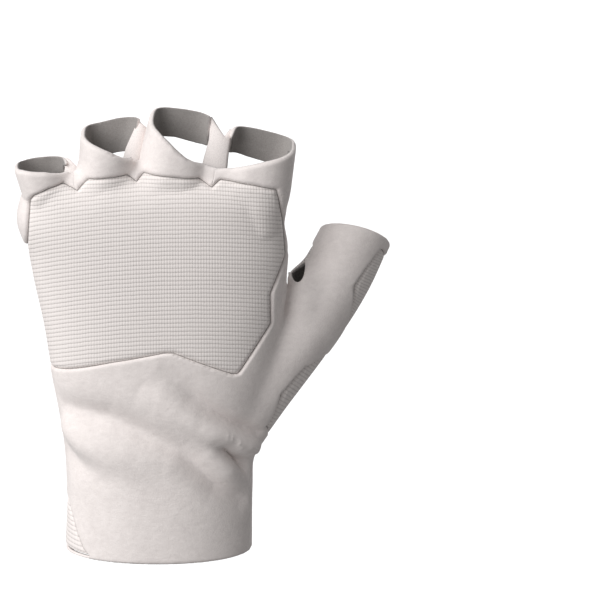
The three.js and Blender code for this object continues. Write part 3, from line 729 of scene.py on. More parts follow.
def body_distance(points):
    """Rough distance outside the hand without its thumb."""
    little, thumb, back, palm, square = body_sizes(points[:, 2])
    wide = np.where(points[:, 0] > 0, thumb, little) - SUEDE_WALL
    deep = np.where(points[:, 1] > 0, palm, back) - SUEDE_WALL
    share = (np.abs(points[:, 0] / wide) ** square + np.abs(points[:, 1] / deep) ** square) ** (1 / square)
    return (share - 1) * np.minimum(wide, deep)


def thumb_distance(points):
    """Rough distance outside the thumb sleeve, and the place along it."""
    places = np.linspace(0, THUMB["place"][-1], THUMB_PLACES)
    middle, _, _, wide, deep = thumb_frame(places)
    nearest = np.empty(len(points), dtype=int)
    for start in range(0, len(points), CHUNK):
        part = points[start:start + CHUNK]
        away = np.linalg.norm(part[:, None, :] - middle[None], axis=2)
        nearest[start:start + CHUNK] = away.argmin(axis=1)
    away = points - middle[nearest]
    along = np.gradient(middle, places, axis=0)[nearest]
    past = (away * along).sum(axis=1) / (along ** 2).sum(axis=1)
    distance = np.linalg.norm(away, axis=1) - (wide[nearest] + deep[nearest]) / 2 + SUEDE_WALL
    return distance, places[nearest] + past


def on_segment(x, z, x0, z0, x1, z1):
    """Share of the way along a segment where it is nearest, and the distance to it there."""
    run = (x1 - x0) ** 2 + (z1 - z0) ** 2
    share = np.clip(((x - x0) * (x1 - x0) + (z - z0) * (z1 - z0)) / run, 0, 1)
    return share, np.hypot(x - x0 - share * (x1 - x0), z - z0 - share * (z1 - z0))


def line_distance(line, x, z):
    """Distance to an open line of points."""
    nearest = np.full(len(x), np.inf)
    for start, end in zip(line[:-1], line[1:]):
        nearest = np.minimum(nearest, on_segment(x, z, *start, *end)[1])
    return nearest


def inside_distance(outline, x, z):
    """Distance to a closed outline, above 0 inside it."""
    nearest = line_distance(outline + outline[:1], x, z)
    inside = np.zeros(len(x), dtype=bool)
    for (x0, z0), (x1, z1) in zip(outline, outline[1:] + outline[:1]):
        if z0 != z1:
            crossing = (z0 > z) != (z1 > z)
            inside ^= crossing & (x < x0 + (z - z0) / (z1 - z0) * (x1 - x0))
    return np.where(inside, nearest, -nearest)


def fold_rise(x, z):
    """Height of all the folds at places on the back."""
    rise = np.zeros(len(x))
    for fold in FOLDS:
        nearest = np.full(len(x), np.inf)
        height = np.zeros(len(x))
        for step in range(len(fold["x"]) - 1):
            x0, x1 = fold["x"][step:step + 2]
            z0, z1 = fold["z"][step:step + 2]
            share, away = on_segment(x, z, x0, z0, x1, z1)
            wide = mix(*fold["wide"][step:step + 2], share)
            here = mix(*fold["rise"][step:step + 2], share) * np.exp(-(away / wide) ** 2)
            height = np.where(away < nearest, here, height)
            nearest = np.minimum(nearest, away)
        rise += FOLD_GAIN * height
    return rise


def line_height(line, x):
    """Height of a line through points in x and z."""
    knots, heights = np.array(line).T
    return np.interp(x, knots, heights)


def nearest_finger(points):
    """Number of the finger that each point belongs to."""
    away = []
    for index in range(4):
        middle, half, _, _ = finger_plan(index, points[:, 2])
        away.append(np.abs(points[:, 0] - middle) - half)
    return np.array(away).argmin(axis=0)


def thumb_filleted(points, faces):
    """Form with the valley between hand and thumb rounded out."""
    away = np.abs(thumb_distance(points)[0]) + np.abs(body_distance(points))
    near = np.exp(-(away / FILLET_REACH) ** 2)
    low = smooth_step(FILLET_START, FILLET_FULL, points[:, 2])
    return filleted(points, faces, FILLET_ROUNDS, np.clip(near * low * FILLET_STRENGTH, 0, 1))


def webs_eased(points, faces):
    """Form with its webs flush with the fingers."""
    near = np.zeros(len(points))
    for x, y, top, wide, deep in zip(*WEBS.values()):
        across = (points[:, 0] - x) / (wide + WEB_MARGIN)
        up = (points[:, 2] - min(top, WEB_HIGHEST) + WEB_SINK) / WEB_REACH
        away = across ** 2 + up ** 2
        rear = smooth_step(y + deep + WEB_REAR, y + deep, points[:, 1])
        near = np.maximum(near, np.exp(-away * away) * rear)
    return filleted(points, faces, WEB_ROUNDS, near)


def folded(points, faces):
    """Form with the folds on its back."""
    normals = normals_of(points, faces)
    back = smooth_step(*BACK_FACING, -normals[:, 1]) * smooth_step(0, -BACK_DEPTH, points[:, 1])
    points = points + normals * (fold_rise(points[:, 0], points[:, 2]) * back)[:, None]
    return smoothed(points, faces, FOLD_ROUNDS)


def crease_weight(points):
    """Nearness to the sharp crease below the thumb."""
    across = (points[:, 0] - CREASE_X) / CREASE_WIDE
    up = (points[:, 2] - CREASE_Z) / CREASE_TALL
    near = np.clip(CREASE_STRENGTH * np.exp(-across ** 2 - up ** 2), 0, 1)
    return near * smooth_step(CREASE_FADE, -CREASE_FADE, points[:, 1])


class Cloth:
    """The glove's form with its fields, from which each piece is cut."""

    def __init__(self):
        self.shape_form()
        self.x, self.y, self.z = self.points.T
        self.on_palm = self.y > SIDE_TURN
        self.measure_loops()
        self.measure_gaps()
        self.measure_thumb()
        self.measure_seams()

    def shape_form(self):
        out = -SUEDE_WALL
        parts = [body_form(out), thumb_form(out)]
        parts += [finger_form(index, out) for index in range(len(FINGER_NAMES))]
        parts += [web_form(row) for row in zip(*WEBS.values())]
        points, faces = remeshed(parts, VOXEL)
        points = thumb_filleted(points, faces)
        points = webs_eased(points, faces)
        points = smoothed(points, faces, SMOOTH_ROUNDS)
        points = folded(points, faces)
        crease = crease_weight(points)
        points = filleted(points, faces, CREASE_ROUNDS, crease)
        normals = filleted(normals_of(points, faces), faces, CREASE_NORMAL_ROUNDS, crease)
        self.points = points
        self.faces = faces
        self.normals = normals / np.linalg.norm(normals, axis=1, keepdims=True)

    def measure_loops(self):
        """Finger of each point, and the height of its loop's rim and foot."""
        self.finger = nearest_finger(self.points)
        self.rim = np.zeros(len(self.points))
        palm_foot = np.zeros(len(self.points))
        palm_share = smooth_step(-SIDE_BLEND, SIDE_BLEND, self.y)
        for index in range(len(FINGER_NAMES)):
            mine = self.finger == index
            across = self.x[mine]
            back_rim = line_height(BACK_RIMS[index], across)
            palm_rim = line_height(PALM_RIMS[index], across)
            self.rim[mine] = mix(back_rim, palm_rim, palm_share[mine])
            palm_foot[mine] = line_height(PALM_FEET[index], across)
        self.loop_foot = np.where(self.y < SIDE_TURN, line_height(LOOP_FEET, self.x), palm_foot)

    def measure_gaps(self):
        """Distance from the parts of the loops that are left open."""
        self.no_gap = np.full(len(self.points), FAR)
        for first, last, middle_x, wide, front, rear, low, high in zip(*GAPS.values()):
            away = np.abs(self.x - middle_x) - wide
            clear = np.maximum.reduce([away, front - self.y, self.y - rear, low - self.z, self.z - high])
            mine = (self.finger >= first) & (self.finger <= last)
            self.no_gap = np.where(mine, np.minimum(self.no_gap, clear), self.no_gap)

    def measure_thumb(self):
        """Distance to the thumb's opening, place along the thumb, and the notch beside it."""
        middle, side, palm, _, _ = thumb_frame(THUMB["place"][-1])
        thumb_end = (middle - self.points) @ np.cross(side, palm)
        thumb_away, self.thumb_place = thumb_distance(self.points)
        on_thumb = (thumb_away < THUMB_NEAR) & (self.x > THUMB_FROM_X)
        self.thumb_end = np.where(on_thumb, thumb_end, NO_THUMB)
        away = np.hypot((self.x - NOTCH_X) / NOTCH_WIDE, (self.z - NOTCH_Z) / NOTCH_TALL) - 1
        self.notch = np.maximum(away * NOTCH_WIDE, self.y - NOTCH_DEEP)

    def measure_seams(self):
        """Distances to the seams, above 0 on the piece that each is named for."""
        self.panel = inside_distance(PANEL, self.x, self.z)
        self.palm_area = inside_distance(PALM_EDGE + PALM_CORNERS, self.x, self.z)
        self.gusset = inside_distance(GUSSET, self.x, self.z)
        self.wrap = inside_distance(WRAP_EDGE + WRAP_CORNERS, self.x, self.z)
        self.flap = inside_distance(FLAP_LINE, self.x, self.z)
        thumb_side = inside_distance(THUMB_SEAM, self.y, self.z)
        thumb_side = np.minimum(thumb_side, self.thumb_end - THUMB_HEM)
        self.thumb_side = np.minimum(thumb_side, self.x - THUMB_SEAM_X)
        self.off_panel = np.maximum(-self.panel, self.y - SIDE_TURN - GAP)


def clip(data, faces, keep):
    """The part of a surface where keep is above 0, cut cleanly along its zero line."""
    inside = keep > 0
    count = inside[faces].sum(axis=1)
    kept = [faces[count == 3]]
    one = faces[count == 1]
    two = faces[count == 2]
    turn = inside[one].argmax(axis=1)
    one = np.stack([one[np.arange(len(one)), (turn + shift) % 3] for shift in range(3)], axis=1)
    turn = (~inside[two]).argmax(axis=1)
    two = np.stack([two[np.arange(len(two)), (turn + shift) % 3] for shift in range(3)], axis=1)
    cuts = np.concatenate([one[:, [0, 1]], one[:, [0, 2]], two[:, [0, 1]], two[:, [0, 2]]])
    pairs, place = np.unique(np.sort(cuts, axis=1), axis=0, return_inverse=True)
    place = place.ravel() + len(data)
    share = keep[pairs[:, 0]] / (keep[pairs[:, 0]] - keep[pairs[:, 1]])
    share = np.clip(share, CUT_MARGIN, 1 - CUT_MARGIN)[:, None]
    data = np.concatenate([data, mix(data[pairs[:, 0]], data[pairs[:, 1]], share)])
    first, second, third, fourth = np.split(place, np.cumsum([len(one), len(one), len(two)]))
    kept.append(np.stack([one[:, 0], first, second], axis=1))
    kept.append(np.stack([third, two[:, 1], two[:, 2]], axis=1))
    kept.append(np.stack([third, two[:, 2], fourth], axis=1))
    faces = np.concatenate(kept)
    used, faces = np.unique(faces, return_inverse=True)
    return data[used], faces.reshape(-1, 3)


def without_scraps(data, faces):
    """Surface without the small loose scraps."""
    group = np.arange(len(data))
    pairs = neighbours(faces)
    while True:
        lowest = group.copy()
        np.minimum.at(lowest, pairs[:, 0], group[pairs[:, 1]])
        lowest = lowest[lowest]
        if (lowest == group).all():
            break
        group = lowest
    sizes = np.bincount(group[faces[:, 0]], minlength=len(data))
    faces = faces[sizes[group[faces[:, 0]]] >= SCRAP_POINTS]
    used, faces = np.unique(faces, return_inverse=True)
    return data[used], faces.reshape(-1, 3)


def cut_piece(cloth, free, joined=(), extra=()):
    """Surface of a piece: columns are place, normal, distance to a free edge, then the extra fields."""
    fields = list(free) + list(joined)
    far = np.full(len(cloth.points), FAR)
    data = np.column_stack([cloth.points, cloth.normals, far] + fields + list(extra))
    faces = cloth.faces
    for number in range(len(fields)):
        keep = data[:, FIRST_FIELD + number]
        if number < len(free):
            data[:, EDGE_COLUMN] = np.minimum(data[:, EDGE_COLUMN], keep)
        data, faces = clip(data, faces, keep)
    data = np.delete(data, np.arange(FIRST_FIELD, FIRST_FIELD + len(fields)), axis=1)
    return without_scraps(data, faces)


def thick(data, faces, low, high, edge=1.2, lip=0.35):
    """Closed wall on a surface between two distances, with its free edges rounded."""
    share = np.clip(data[:, EDGE_COLUMN] / edge, 0, 1)
    crown = lip + (1 - lip) * np.sqrt(1 - (1 - share) ** 2)
    outer = data[:, :3] + data[:, 3:6] * (low + (high - low) * crown)[:, None]
    inner = data[:, :3] + data[:, 3:6] * low
    sides = np.concatenate([faces[:, [0, 1]], faces[:, [1, 2]], faces[:, [2, 0]]])
    keys = np.sort(sides, axis=1)
    _, place, count = np.unique(keys, axis=0, return_inverse=True, return_counts=True)
    rim = sides[count[place.ravel()] == 1]
    shift = len(data)
    walls = np.concatenate([
        np.stack([rim[:, 1], rim[:, 0], rim[:, 0] + shift], axis=1),
        np.stack([rim[:, 1], rim[:, 0] + shift, rim[:, 1] + shift], axis=1),
    ])
    points = np.concatenate([outer, inner])
    faces = np.concatenate([faces, faces[:, ::-1] + shift, walls])
    return points, faces


def grid(rows):
    """Open surface through rows of points, with columns as cut_piece gives them."""
    rows = np.array(rows)
    count, across, _ = rows.shape
    number = np.arange(count * across).reshape(count, across)
    corners = [number[:-1, :-1], number[:-1, 1:], number[1:, 1:], number[1:, :-1]]
    a, b, c, d = (corner.ravel() for corner in corners)
    faces = np.concatenate([np.stack([a, b, c], axis=1), np.stack([a, c, d], axis=1)])
    points = rows.reshape(-1, 3)
    normals = normals_of(points, faces)
    return np.column_stack([points, normals, np.full(len(points), FAR)]), faces


def wall_piece(name, slot, material, surface, low, high, **edges):
    """A wall on a cut surface, in place of the node of its name, with its fields kept for its material."""
    data, faces = surface
    points, wall_faces = thick(data, faces, low, high, **edges)
    inside = np.concatenate([np.zeros(len(data)), np.ones(len(data))])
    fields = {"inside": inside}
    for number, field in enumerate(FIELD_NAMES[:data.shape[1] - FIRST_FIELD]):
        fields[field] = np.tile(data[:, FIRST_FIELD + number], 2)
    shape = make_mesh(name, points, wall_faces)
    for field, values in fields.items():
        layer = shape.data.attributes.new(field, "FLOAT", "POINT")
        layer.data.foreach_set("value", values.astype(np.float32))
    shape.data.materials.append(material)
    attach(shape, "root")
    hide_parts(name)


class Recipe:
    """Node tree of one material, with short calls for the nodes that it is made of."""

    def __init__(self, name, roughness, sheen=0.0, specular=0.2):
        self.material = bpy.data.materials.new(name)
        self.material.use_nodes = True
        self.tree = self.material.node_tree
        self.shader = self.tree.nodes["Principled BSDF"]
        self.shader.inputs["Roughness"].default_value = roughness
        self.shader.inputs["Sheen Weight"].default_value = sheen
        self.shader.inputs["Specular IOR Level"].default_value = specular
        self.place = self.tree.nodes.new("ShaderNodeTexCoord").outputs["Object"]

    def put(self, socket, value):
        if isinstance(value, bpy.types.NodeSocket):
            self.tree.links.new(value, socket)
        else:
            socket.default_value = value

    def maths(self, operation, *values):
        node = self.tree.nodes.new("ShaderNodeMath")
        node.operation = operation
        for socket, value in zip(node.inputs, values):
            self.put(socket, value)
        return node.outputs[0]

    def total(self, *terms):
        """Sum of values, each times its share."""
        parts = [self.maths("MULTIPLY", value, share) for value, share in terms]
        result = parts[0]
        for part in parts[1:]:
            result = self.maths("ADD", result, part)
        return result

    def field(self, name):
        node = self.tree.nodes.new("ShaderNodeAttribute")
        node.attribute_name = name
        return node.outputs["Fac"]

    def stretched(self, x, y, z):
        node = self.tree.nodes.new("ShaderNodeMapping")
        node.inputs["Scale"].default_value = (x, y, z)
        self.put(node.inputs["Vector"], self.place)
        return node.outputs[0]

    def noise(self, size, detail=2.0, rough=0.5, place=None):
        """Noise whose grain is about this many millimetres."""
        node = self.tree.nodes.new("ShaderNodeTexNoise")
        node.inputs["Scale"].default_value = 1 / (size * METRE)
        node.inputs["Detail"].default_value = detail
        node.inputs["Roughness"].default_value = rough
        self.put(node.inputs["Vector"], place or self.place)
        return node.outputs["Fac"]

    def ramp(self, value, *stops):
        node = self.tree.nodes.new("ShaderNodeValToRGB")
        while len(node.color_ramp.elements) < len(stops):
            node.color_ramp.elements.new(1.0)
        for element, (place, colour) in zip(node.color_ramp.elements, stops):
            element.position = place
            element.color = (*colour, 1.0)
        self.put(node.inputs["Fac"], value)
        return node.outputs["Color"]

    def blend(self, share, one, other, kind="MIX"):
        node = self.tree.nodes.new("ShaderNodeMix")
        node.data_type = "RGBA"
        node.blend_type = kind
        sockets = [socket for socket in node.inputs if socket.type == "RGBA"]
        self.put(node.inputs["Factor"], share)
        for socket, colour in zip(sockets, (one, other)):
            self.put(socket, colour if isinstance(colour, bpy.types.NodeSocket) else (*colour, 1.0))
        return [socket for socket in node.outputs if socket.type == "RGBA"][0]

    def bump(self, height, depth, before=None):
        """Relief that is this many millimetres deep."""
        node = self.tree.nodes.new("ShaderNodeBump")
        node.inputs["Distance"].default_value = depth * METRE
        self.put(node.inputs["Height"], height)
        if before is not None:
            self.put(node.inputs["Normal"], before)
        return node.outputs["Normal"]

    def finish(self, colour, normal):
        self.put(self.shader.inputs["Base Color"], colour)
        self.put(self.shader.inputs["Normal"], normal)
        return self.material


def suede():
    """Pale napped suede, grey on its inner side."""
    recipe = Recipe("suede", 0.95, sheen=0.25, specular=0.12)
    fine = recipe.noise(FINE_GRAIN, 4.0, 0.7)
    nap = recipe.noise(NAP_GRAIN, 3.0, 0.6, recipe.stretched(0.6, 1.0, 1.0))
    cloud = recipe.noise(CLOUD_GRAIN, 3.0, 0.55)
    tone = recipe.total((fine, 0.4), (cloud, 0.25), (nap, 0.35))
    face = recipe.ramp(tone, (0.3, SUEDE_DARK), (0.6, SUEDE_LIGHT))
    lining_side = recipe.ramp(fine, (0.3, INSIDE_DARK), (0.7, INSIDE_LIGHT))
    colour = recipe.blend(recipe.field("inside"), face, lining_side)
    normal = recipe.bump(fine, 0.10)
    normal = recipe.bump(nap, 0.12, normal)
    return recipe.finish(colour, normal)


def strap_suede():
    """Suede outside and grey inside, with two rows of dark stitches across the sewn end."""
    recipe = Recipe("strap_suede", 0.95, sheen=0.2, specular=0.12)
    fine = recipe.noise(FINE_GRAIN, 4.0, 0.7)
    face = recipe.ramp(fine, (0.3, SUEDE_DARK), (0.6, SUEDE_LIGHT))
    lining_side = recipe.ramp(fine, (0.3, STRAP_DARK), (0.7, STRAP_LIGHT))
    run = recipe.field("run")
    rows = recipe.maths("COMPARE", run, STITCH_BOX, STITCH_THICK)
    rows = recipe.maths("MAXIMUM", rows, recipe.maths("COMPARE", run, STITCH_LOW, STITCH_THICK))
    wave = recipe.maths("SINE", recipe.maths("MULTIPLY", recipe.field("rib"), 2 * math.pi / STITCH_PITCH))
    stitch = recipe.maths("MULTIPLY", rows, recipe.maths("GREATER_THAN", wave, STITCH_GAP))
    lining_side = recipe.blend(stitch, lining_side, GREY_STITCH)
    inner = recipe.maths("GREATER_THAN", recipe.field("inside"), 0.01)
    colour = recipe.blend(inner, face, lining_side)
    normal = recipe.bump(fine, 0.1)
    normal = recipe.bump(stitch, -0.25, normal)
    return recipe.finish(colour, normal)


def knit(name, pitch=RIB_PITCH):
    """Ribbed knit: broad ribs with painted shade in the thin dark lines between them, crossed by fine
    courses, and with a painted shadow along its seam.
    """
    recipe = Recipe(name, 0.9, sheen=0.1, specular=0.15)
    wobble = recipe.maths("MULTIPLY", recipe.maths("SUBTRACT", recipe.noise(WOBBLE_GRAIN), 0.5), RIB_WOBBLE)
    rib = recipe.maths("ADD", recipe.field("rib"), wobble)
    wave = recipe.maths("SINE", recipe.maths("MULTIPLY", rib, math.pi / pitch))
    rise = recipe.maths("POWER", recipe.maths("ABSOLUTE", wave), 0.6)
    run = recipe.maths("MULTIPLY", recipe.field("run"), math.pi / COURSE_PITCH)
    course = recipe.maths("ABSOLUTE", recipe.maths("SINE", run))
    fine = recipe.noise(KNIT_GRAIN, 3.0, 0.7)
    cloud = recipe.maths("SUBTRACT", recipe.noise(KNIT_CLOUD, 2.0), 0.5)
    # Painted shade: the colour darkens in the grooves between the ribs, where shade would fall; the bump
    # below gives their relief
    tone = recipe.total((rise, 0.7), (course, 0.14), (fine, 0.22), (cloud, 0.12))
    middle = tuple(mix(dark, light, 0.8) for dark, light in zip(KNIT_GROOVE_SHADE, KNIT_LIGHT))
    face = recipe.ramp(tone, (0.18, KNIT_GROOVE_SHADE), (0.55, middle), (0.95, KNIT_LIGHT))
    # Painted shadow: the knit's colour darkens along its seam, under the overlapping edge of the neighbouring
    # piece
    from_seam = recipe.maths("MULTIPLY", recipe.field("seam"), 1.2)
    shade = recipe.ramp(from_seam, (0.0, SEAM_SHADE), (0.55, WHITE))
    face = recipe.blend(1.0, face, shade, "MULTIPLY")
    colour = recipe.blend(recipe.field("inside"), face, GREY_LIGHT)
    normal = recipe.bump(rise, 0.12)
    normal = recipe.bump(recipe.maths("ADD", course, fine), 0.06, normal)
    return recipe.finish(colour, normal)


def plain_cloth(name):
    light, dark, grain, relief, roughness, sheen = PLAIN[name]
    recipe = Recipe(name, roughness, sheen=sheen, specular=0.15)
    fine = recipe.noise(grain, 4.0, 0.65)
    cloud = recipe.noise(PLAIN_CLOUD, 2.0)
    colour = recipe.ramp(recipe.total((fine, 0.7), (cloud, 0.3)), (0.32, dark), (0.66, light))
    return recipe.finish(colour, recipe.bump(fine, relief))


def back_shell(cloth, material):
    """Cuff, strip on the thumb side and back of the thumb."""
    palm_cut = np.maximum(-cloth.palm_area, SIDE_TURN - cloth.y)
    surface = cut_piece(
        cloth,
        free=[
            cloth.z + HEM_DROP, cloth.notch, palm_cut, cloth.off_panel, -cloth.gusset, -cloth.thumb_side,
            cloth.thumb_end, cloth.no_gap,
        ],
        joined=[cloth.loop_foot - cloth.z],
    )
    wall_piece("back_shell", "suede", material, surface, 0.0, SUEDE_WALL, edge=0.7, lip=0.5)


def finger_loop(cloth, material, index):
    mine = np.where(cloth.finger == index, FAR, -FAR)
    foot_edge = cloth.z - cloth.loop_foot
    surface = cut_piece(
        cloth,
        free=[cloth.rim - cloth.z, np.where(cloth.on_palm, foot_edge, FAR), cloth.no_gap, cloth.off_panel],
        joined=[foot_edge, mine],
    )
    wall_piece("finger_loop_" + FINGER_NAMES[index], "suede", material, surface, 0.0, SUEDE_WALL)


def back_lining(cloth, material):
    surface = cut_piece(
        cloth,
        free=[cloth.z - LINING_ABOVE_HEM, cloth.notch - LINING_OFF_NOTCH],
        joined=[
            LINING_TURN - cloth.y, cloth.rim - LINING_BELOW_RIM - cloth.z,
            cloth.thumb_end - LINING_BELOW_RIM, cloth.no_gap,
        ],
    )
    wall_piece("back_lining", "lining", material, surface, -LINING_WALL - GAP, -GAP)


def ribbed_piece(cloth, name, material, free, joined, rib, run, seam, rise):
    """A ribbed piece, which stands out less at its seam than inside it."""
    at_seam, further, start, end = RIBBED[name]
    out = at_seam + further * smooth_step(start, end, rise)
    data, faces = cut_piece(cloth, free, joined, extra=[rib, run, seam, out])
    wall_piece(name, "rib_knit", material, (data, faces), RIBBED_ROOT, data[:, HEIGHT_FIELD])


def back_panel(cloth, material):
    bow = PANEL_SLOPE * cloth.x - PANEL_BOW * cloth.x * cloth.x
    ribbed_piece(
        cloth, "back_panel", material,
        free=[],
        joined=[cloth.panel + PANEL_UNDER, SIDE_TURN - cloth.y],
        rib=cloth.z + PANEL_TILT * cloth.y - bow,
        run=cloth.x,
        seam=cloth.panel,
        rise=cloth.panel,
    )


def thumb_side_panel(cloth, material):
    ribbed_piece(
        cloth, "thumb_side_panel", material,
        free=[-cloth.palm_area],
        joined=[cloth.thumb_side + THUMB_UNDER, -cloth.panel],
        rib=cloth.thumb_place * THUMB_STEP,
        run=cloth.y,
        seam=cloth.thumb_side,
        rise=cloth.thumb_side,
    )


def palm_wrap(cloth, material):
    ribbed_piece(
        cloth, "palm_wrap", material,
        free=[],
        joined=[cloth.wrap + WRAP_UNDER, cloth.y - SIDE_TURN, -cloth.gusset + WRAP_UNDER_GUSSET],
        rib=cloth.z + WRAP_SLOPE * cloth.x,
        run=cloth.x,
        seam=cloth.wrap,
        rise=-cloth.gusset,
    )


def cuff_gusset(cloth, material):
    ribbed_piece(
        cloth, "cuff_gusset", material,
        free=[cloth.z],
        joined=[cloth.gusset + GUSSET_UNDER],
        rib=cloth.z + GUSSET_SLOPE * cloth.x,
        run=cloth.x,
        seam=cloth.gusset,
        rise=cloth.gusset,
    )


def wrap_binding(cloth, material):
    away = line_distance(WRAP_EDGE, cloth.x, cloth.z)
    away = np.where(cloth.wrap > 0, away, -away)
    surface = cut_piece(
        cloth,
        free=[away + BINDING_OUT, BINDING_IN - away],
        joined=[cloth.y - SIDE_TURN, BINDING_END - cloth.x],
    )
    wall_piece("wrap_binding", "trim", material, surface, *BINDING_WALL, edge=1.2, lip=0.1)


def flap_and_patch(cloth, flap_material, patch_material):
    flap = cut_piece(cloth, free=[cloth.flap, cloth.y - FLAP_TURN])
    wall_piece("wrist_flap", "suede", flap_material, flap, *FLAP_WALL)
    patch = cut_piece(cloth, free=[cloth.flap - PATCH_BORDER, cloth.y - FLAP_TURN - PATCH_BORDER])
    wall_piece("loop_patch", "loop_pile", patch_material, patch, *PATCH_WALL)


def hook_tab(material):
    """Pointed tab that starts at the thumb side and lies on the patch."""
    angles = np.linspace(TAB_START, TAB_START + math.pi, TAB_ANGLES)
    ring = body_points(angles, np.full(len(angles), TAB_LIFT), 0.0)
    walked = np.concatenate([[0], np.cumsum(np.linalg.norm(np.diff(ring, axis=0), axis=1))])
    along = np.linspace(0, TAB_LENGTH, TAB_STEPS)
    heights = np.linspace(TAB_LOW, TAB_TOP, TAB_ROWS)
    turn = np.interp(along, walked, angles)
    out = mix(*TAB_OUT, smooth_step(0.0, TAB_CLIMB, along / TAB_LENGTH)) - SUEDE_WALL
    rows = [body_points(np.full(len(heights), turn[step]), heights, out[step]) for step in range(len(along))]
    data, faces = grid(rows)
    outward = np.sign((data[:, 3:5] * data[:, :2]).sum(axis=1))
    data[:, 3:6] *= outward[:, None]
    shape = inside_distance(TAB_OUTLINE, np.repeat(along, len(heights)), np.tile(heights, len(along)))
    data[:, EDGE_COLUMN] = shape
    wall_piece("hook_tab", "hook_tape", material, clip(data, faces, shape), 0.0, TAB_WALL, edge=0.5, lip=0.6)


def lining_depth(x, z):
    """Depth at which a strap lies on the lining at a place."""
    out = -SUEDE_WALL - GAP - LINING_WALL - STRAP_OFF
    little, thumb, back, _, square = body_sizes(z)
    wide = np.where(x > 0, thumb, little) + out
    deep = back + fold_rise(x, z) + out
    return -deep * (1 - np.minimum(np.abs(x) / wide, 1) ** square) ** (1 / square)


def smooth_rows(rows, count):
    """Rows of numbers made finer along smooth curves through them."""
    rows = np.array(rows, dtype=float)
    columns = {"place": np.arange(len(rows), dtype=float)}
    place = np.linspace(0, len(rows) - 1, count)
    for number in range(rows.shape[1]):
        columns[str(number)] = rows[:, number]
    return np.stack([at(columns, "place", str(number), place) for number in range(rows.shape[1])], axis=1)


def strap_rows(name):
    """Rows of a strap: depth, height, both edges, and 1 where it lies on the lining."""
    rows = [(depth, height, left, right, 0.0) for depth, height, left, right in STRAPS[name]]
    for height, left, right in STRAP_FEET[name]:
        depth = lining_depth(np.array([(left + right) / 2]), np.array([height]))
        rows.append((float(depth[0]), height, left, right, 1.0))
    return smooth_rows(rows, STRAP_STEPS)


def finger_strap(name, material):
    """Strap between two fingers, with rounded corners at its sewn end."""
    fine = strap_rows(name)
    across = np.linspace(-1, 1, STRAP_ACROSS)
    lines = []
    for depth, height, left, right, on_lining in fine:
        line_x = mix(left, right, (across + 1) / 2)
        on_wall = lining_depth(line_x, np.full(STRAP_ACROSS, height))
        bow = STRAP_BOW * (1 - across * across) * (1 - on_lining)
        line_y = mix(depth - bow, on_wall, np.clip(on_lining, 0, 1))
        lines.append(np.stack([line_x, line_y, height + bow * STRAP_BOW_UP], axis=1))
    data, faces = grid(lines)
    data[:, 3:6] *= np.sign(data[:, 5].mean() - 0.5 * data[:, 4].mean())
    half = (fine[:, 3] - fine[:, 2]) / 2
    length = np.concatenate([[0], np.cumsum(np.hypot(np.diff(fine[:, 0]), np.diff(fine[:, 1])))])
    side = np.outer(half, 1 - np.abs(across)).ravel()
    foot = np.repeat(length[-1] - length, STRAP_ACROSS)
    data = np.column_stack([data, np.outer(half, across).ravel(), foot])
    corner = np.hypot(np.minimum(side - STRAP_CORNER, 0), np.minimum(foot - STRAP_CORNER, 0))
    top = line_height(STRAP_TOPS[name], data[:, 0]) - data[:, 2]
    data[:, EDGE_COLUMN] = np.minimum(STRAP_CORNER - corner, top)
    surface = clip(data, faces, data[:, EDGE_COLUMN])
    wall_piece("finger_strap_" + name, "lining", material, surface, 0.0, STRAP_WALL, edge=0.7, lip=0.4)


def glove():
    """All pieces of the glove, from one form."""
    cloth = Cloth()
    suede_cloth = suede()
    strap_cloth = strap_suede()
    side_knit = knit("side_knit")
    back_shell(cloth, suede_cloth)
    for index in range(len(FINGER_NAMES)):
        finger_loop(cloth, suede_cloth, index)
    back_panel(cloth, knit("panel_knit"))
    back_lining(cloth, plain_cloth("lining_cloth"))
    thumb_side_panel(cloth, knit("thumb_knit", THUMB_RIB_PITCH))
    palm_wrap(cloth, side_knit)
    cuff_gusset(cloth, side_knit)
    wrap_binding(cloth, plain_cloth("trim_cloth"))
    flap_and_patch(cloth, suede_cloth, plain_cloth("loop_cloth"))
    hook_tab(plain_cloth("hook_cloth"))
    for name in STRAPS:
        finger_strap(name, strap_cloth)


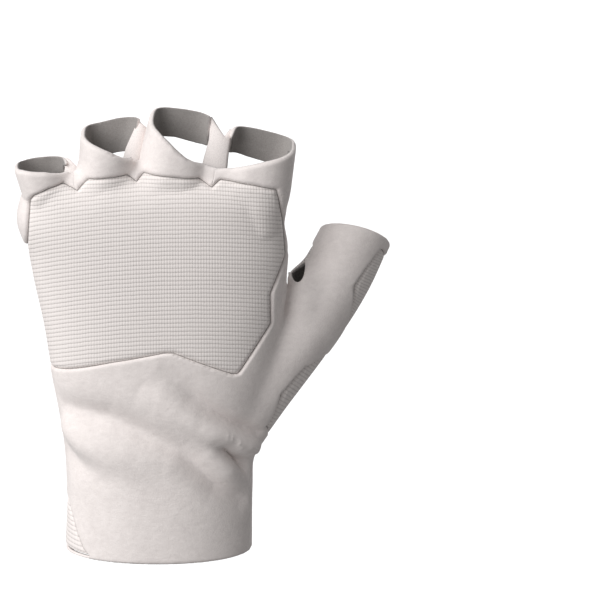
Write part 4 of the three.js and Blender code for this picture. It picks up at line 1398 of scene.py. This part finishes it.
def floor():
    """Wide pale floor below the glove, which lights nothing."""
    step = np.linspace(-FLOOR_HALF, FLOOR_HALF, FLOOR_STEPS)
    data, faces = grid([[(across, depth, FLOOR_DROP) for across in step] for depth in step])
    sheet = make_mesh("floor", data[:, :3], faces[:, ::-1])
    recipe = Recipe("floor_paint", 0.9, specular=0.1)
    tone = recipe.ramp(recipe.noise(FLOOR_GRAIN), (0.3, FLOOR_DARK), (0.7, FLOOR_LIGHT))
    recipe.put(recipe.shader.inputs["Base Color"], tone)
    recipe.shader.inputs["Emission Color"].default_value = (*WHITE, 1.0)
    recipe.shader.inputs["Emission Strength"].default_value = FLOOR_GLOW
    sheet.data.materials.append(recipe.material)
    sheet.visible_diffuse = False


def sun(name, toward, power, spread):
    light = bpy.data.lights.new(name, "SUN")
    light.energy = power
    light.angle = math.radians(spread)
    shape = bpy.data.objects.new(name, light)
    shape.rotation_euler = Vector(toward).to_track_quat("Z", "Y").to_euler()
    bpy.context.scene.collection.objects.link(shape)


def lights():
    """Broad key from the upper left and front, a weaker one for the palm side, and an even room."""
    sun("key", KEY_TOWARD, KEY_POWER, KEY_SPREAD)
    sun("palm_light", PALM_LIGHT_TOWARD, PALM_LIGHT_POWER, KEY_SPREAD)
    world = bpy.data.worlds.new("room")
    world.use_nodes = True
    world.node_tree.nodes["Background"].inputs["Color"].default_value = (*WHITE, 1.0)
    world.node_tree.nodes["Background"].inputs["Strength"].default_value = ROOM_POWER
    bpy.context.scene.world = world
    bpy.context.scene.view_settings.view_transform = "Standard"


def camera():
    lens = bpy.data.cameras.new("camera")
    lens.lens = CAMERA_LENS
    lens.sensor_width = CAMERA_SENSOR
    lens.clip_end = CAMERA_REACH
    shape = bpy.data.objects.new("camera", lens)
    tilt = math.radians(CAMERA_TILT)
    away = CAMERA_LENS / CAMERA_SENSOR * VIEW_WIDTH * METRE
    upward = Vector((0, math.sin(tilt), math.cos(tilt)))
    aim = Vector((VIEW_MIDDLE[0] * METRE, 0, 0)) + upward * VIEW_MIDDLE[1] * METRE
    shape.location = aim + Vector((0, -math.cos(tilt), math.sin(tilt))) * away
    shape.rotation_euler = (aim - shape.location).to_track_quat("-Z", "Y").to_euler()
    bpy.context.scene.collection.objects.link(shape)
    bpy.context.scene.camera = shape


glove()
floor()
lights()
camera()
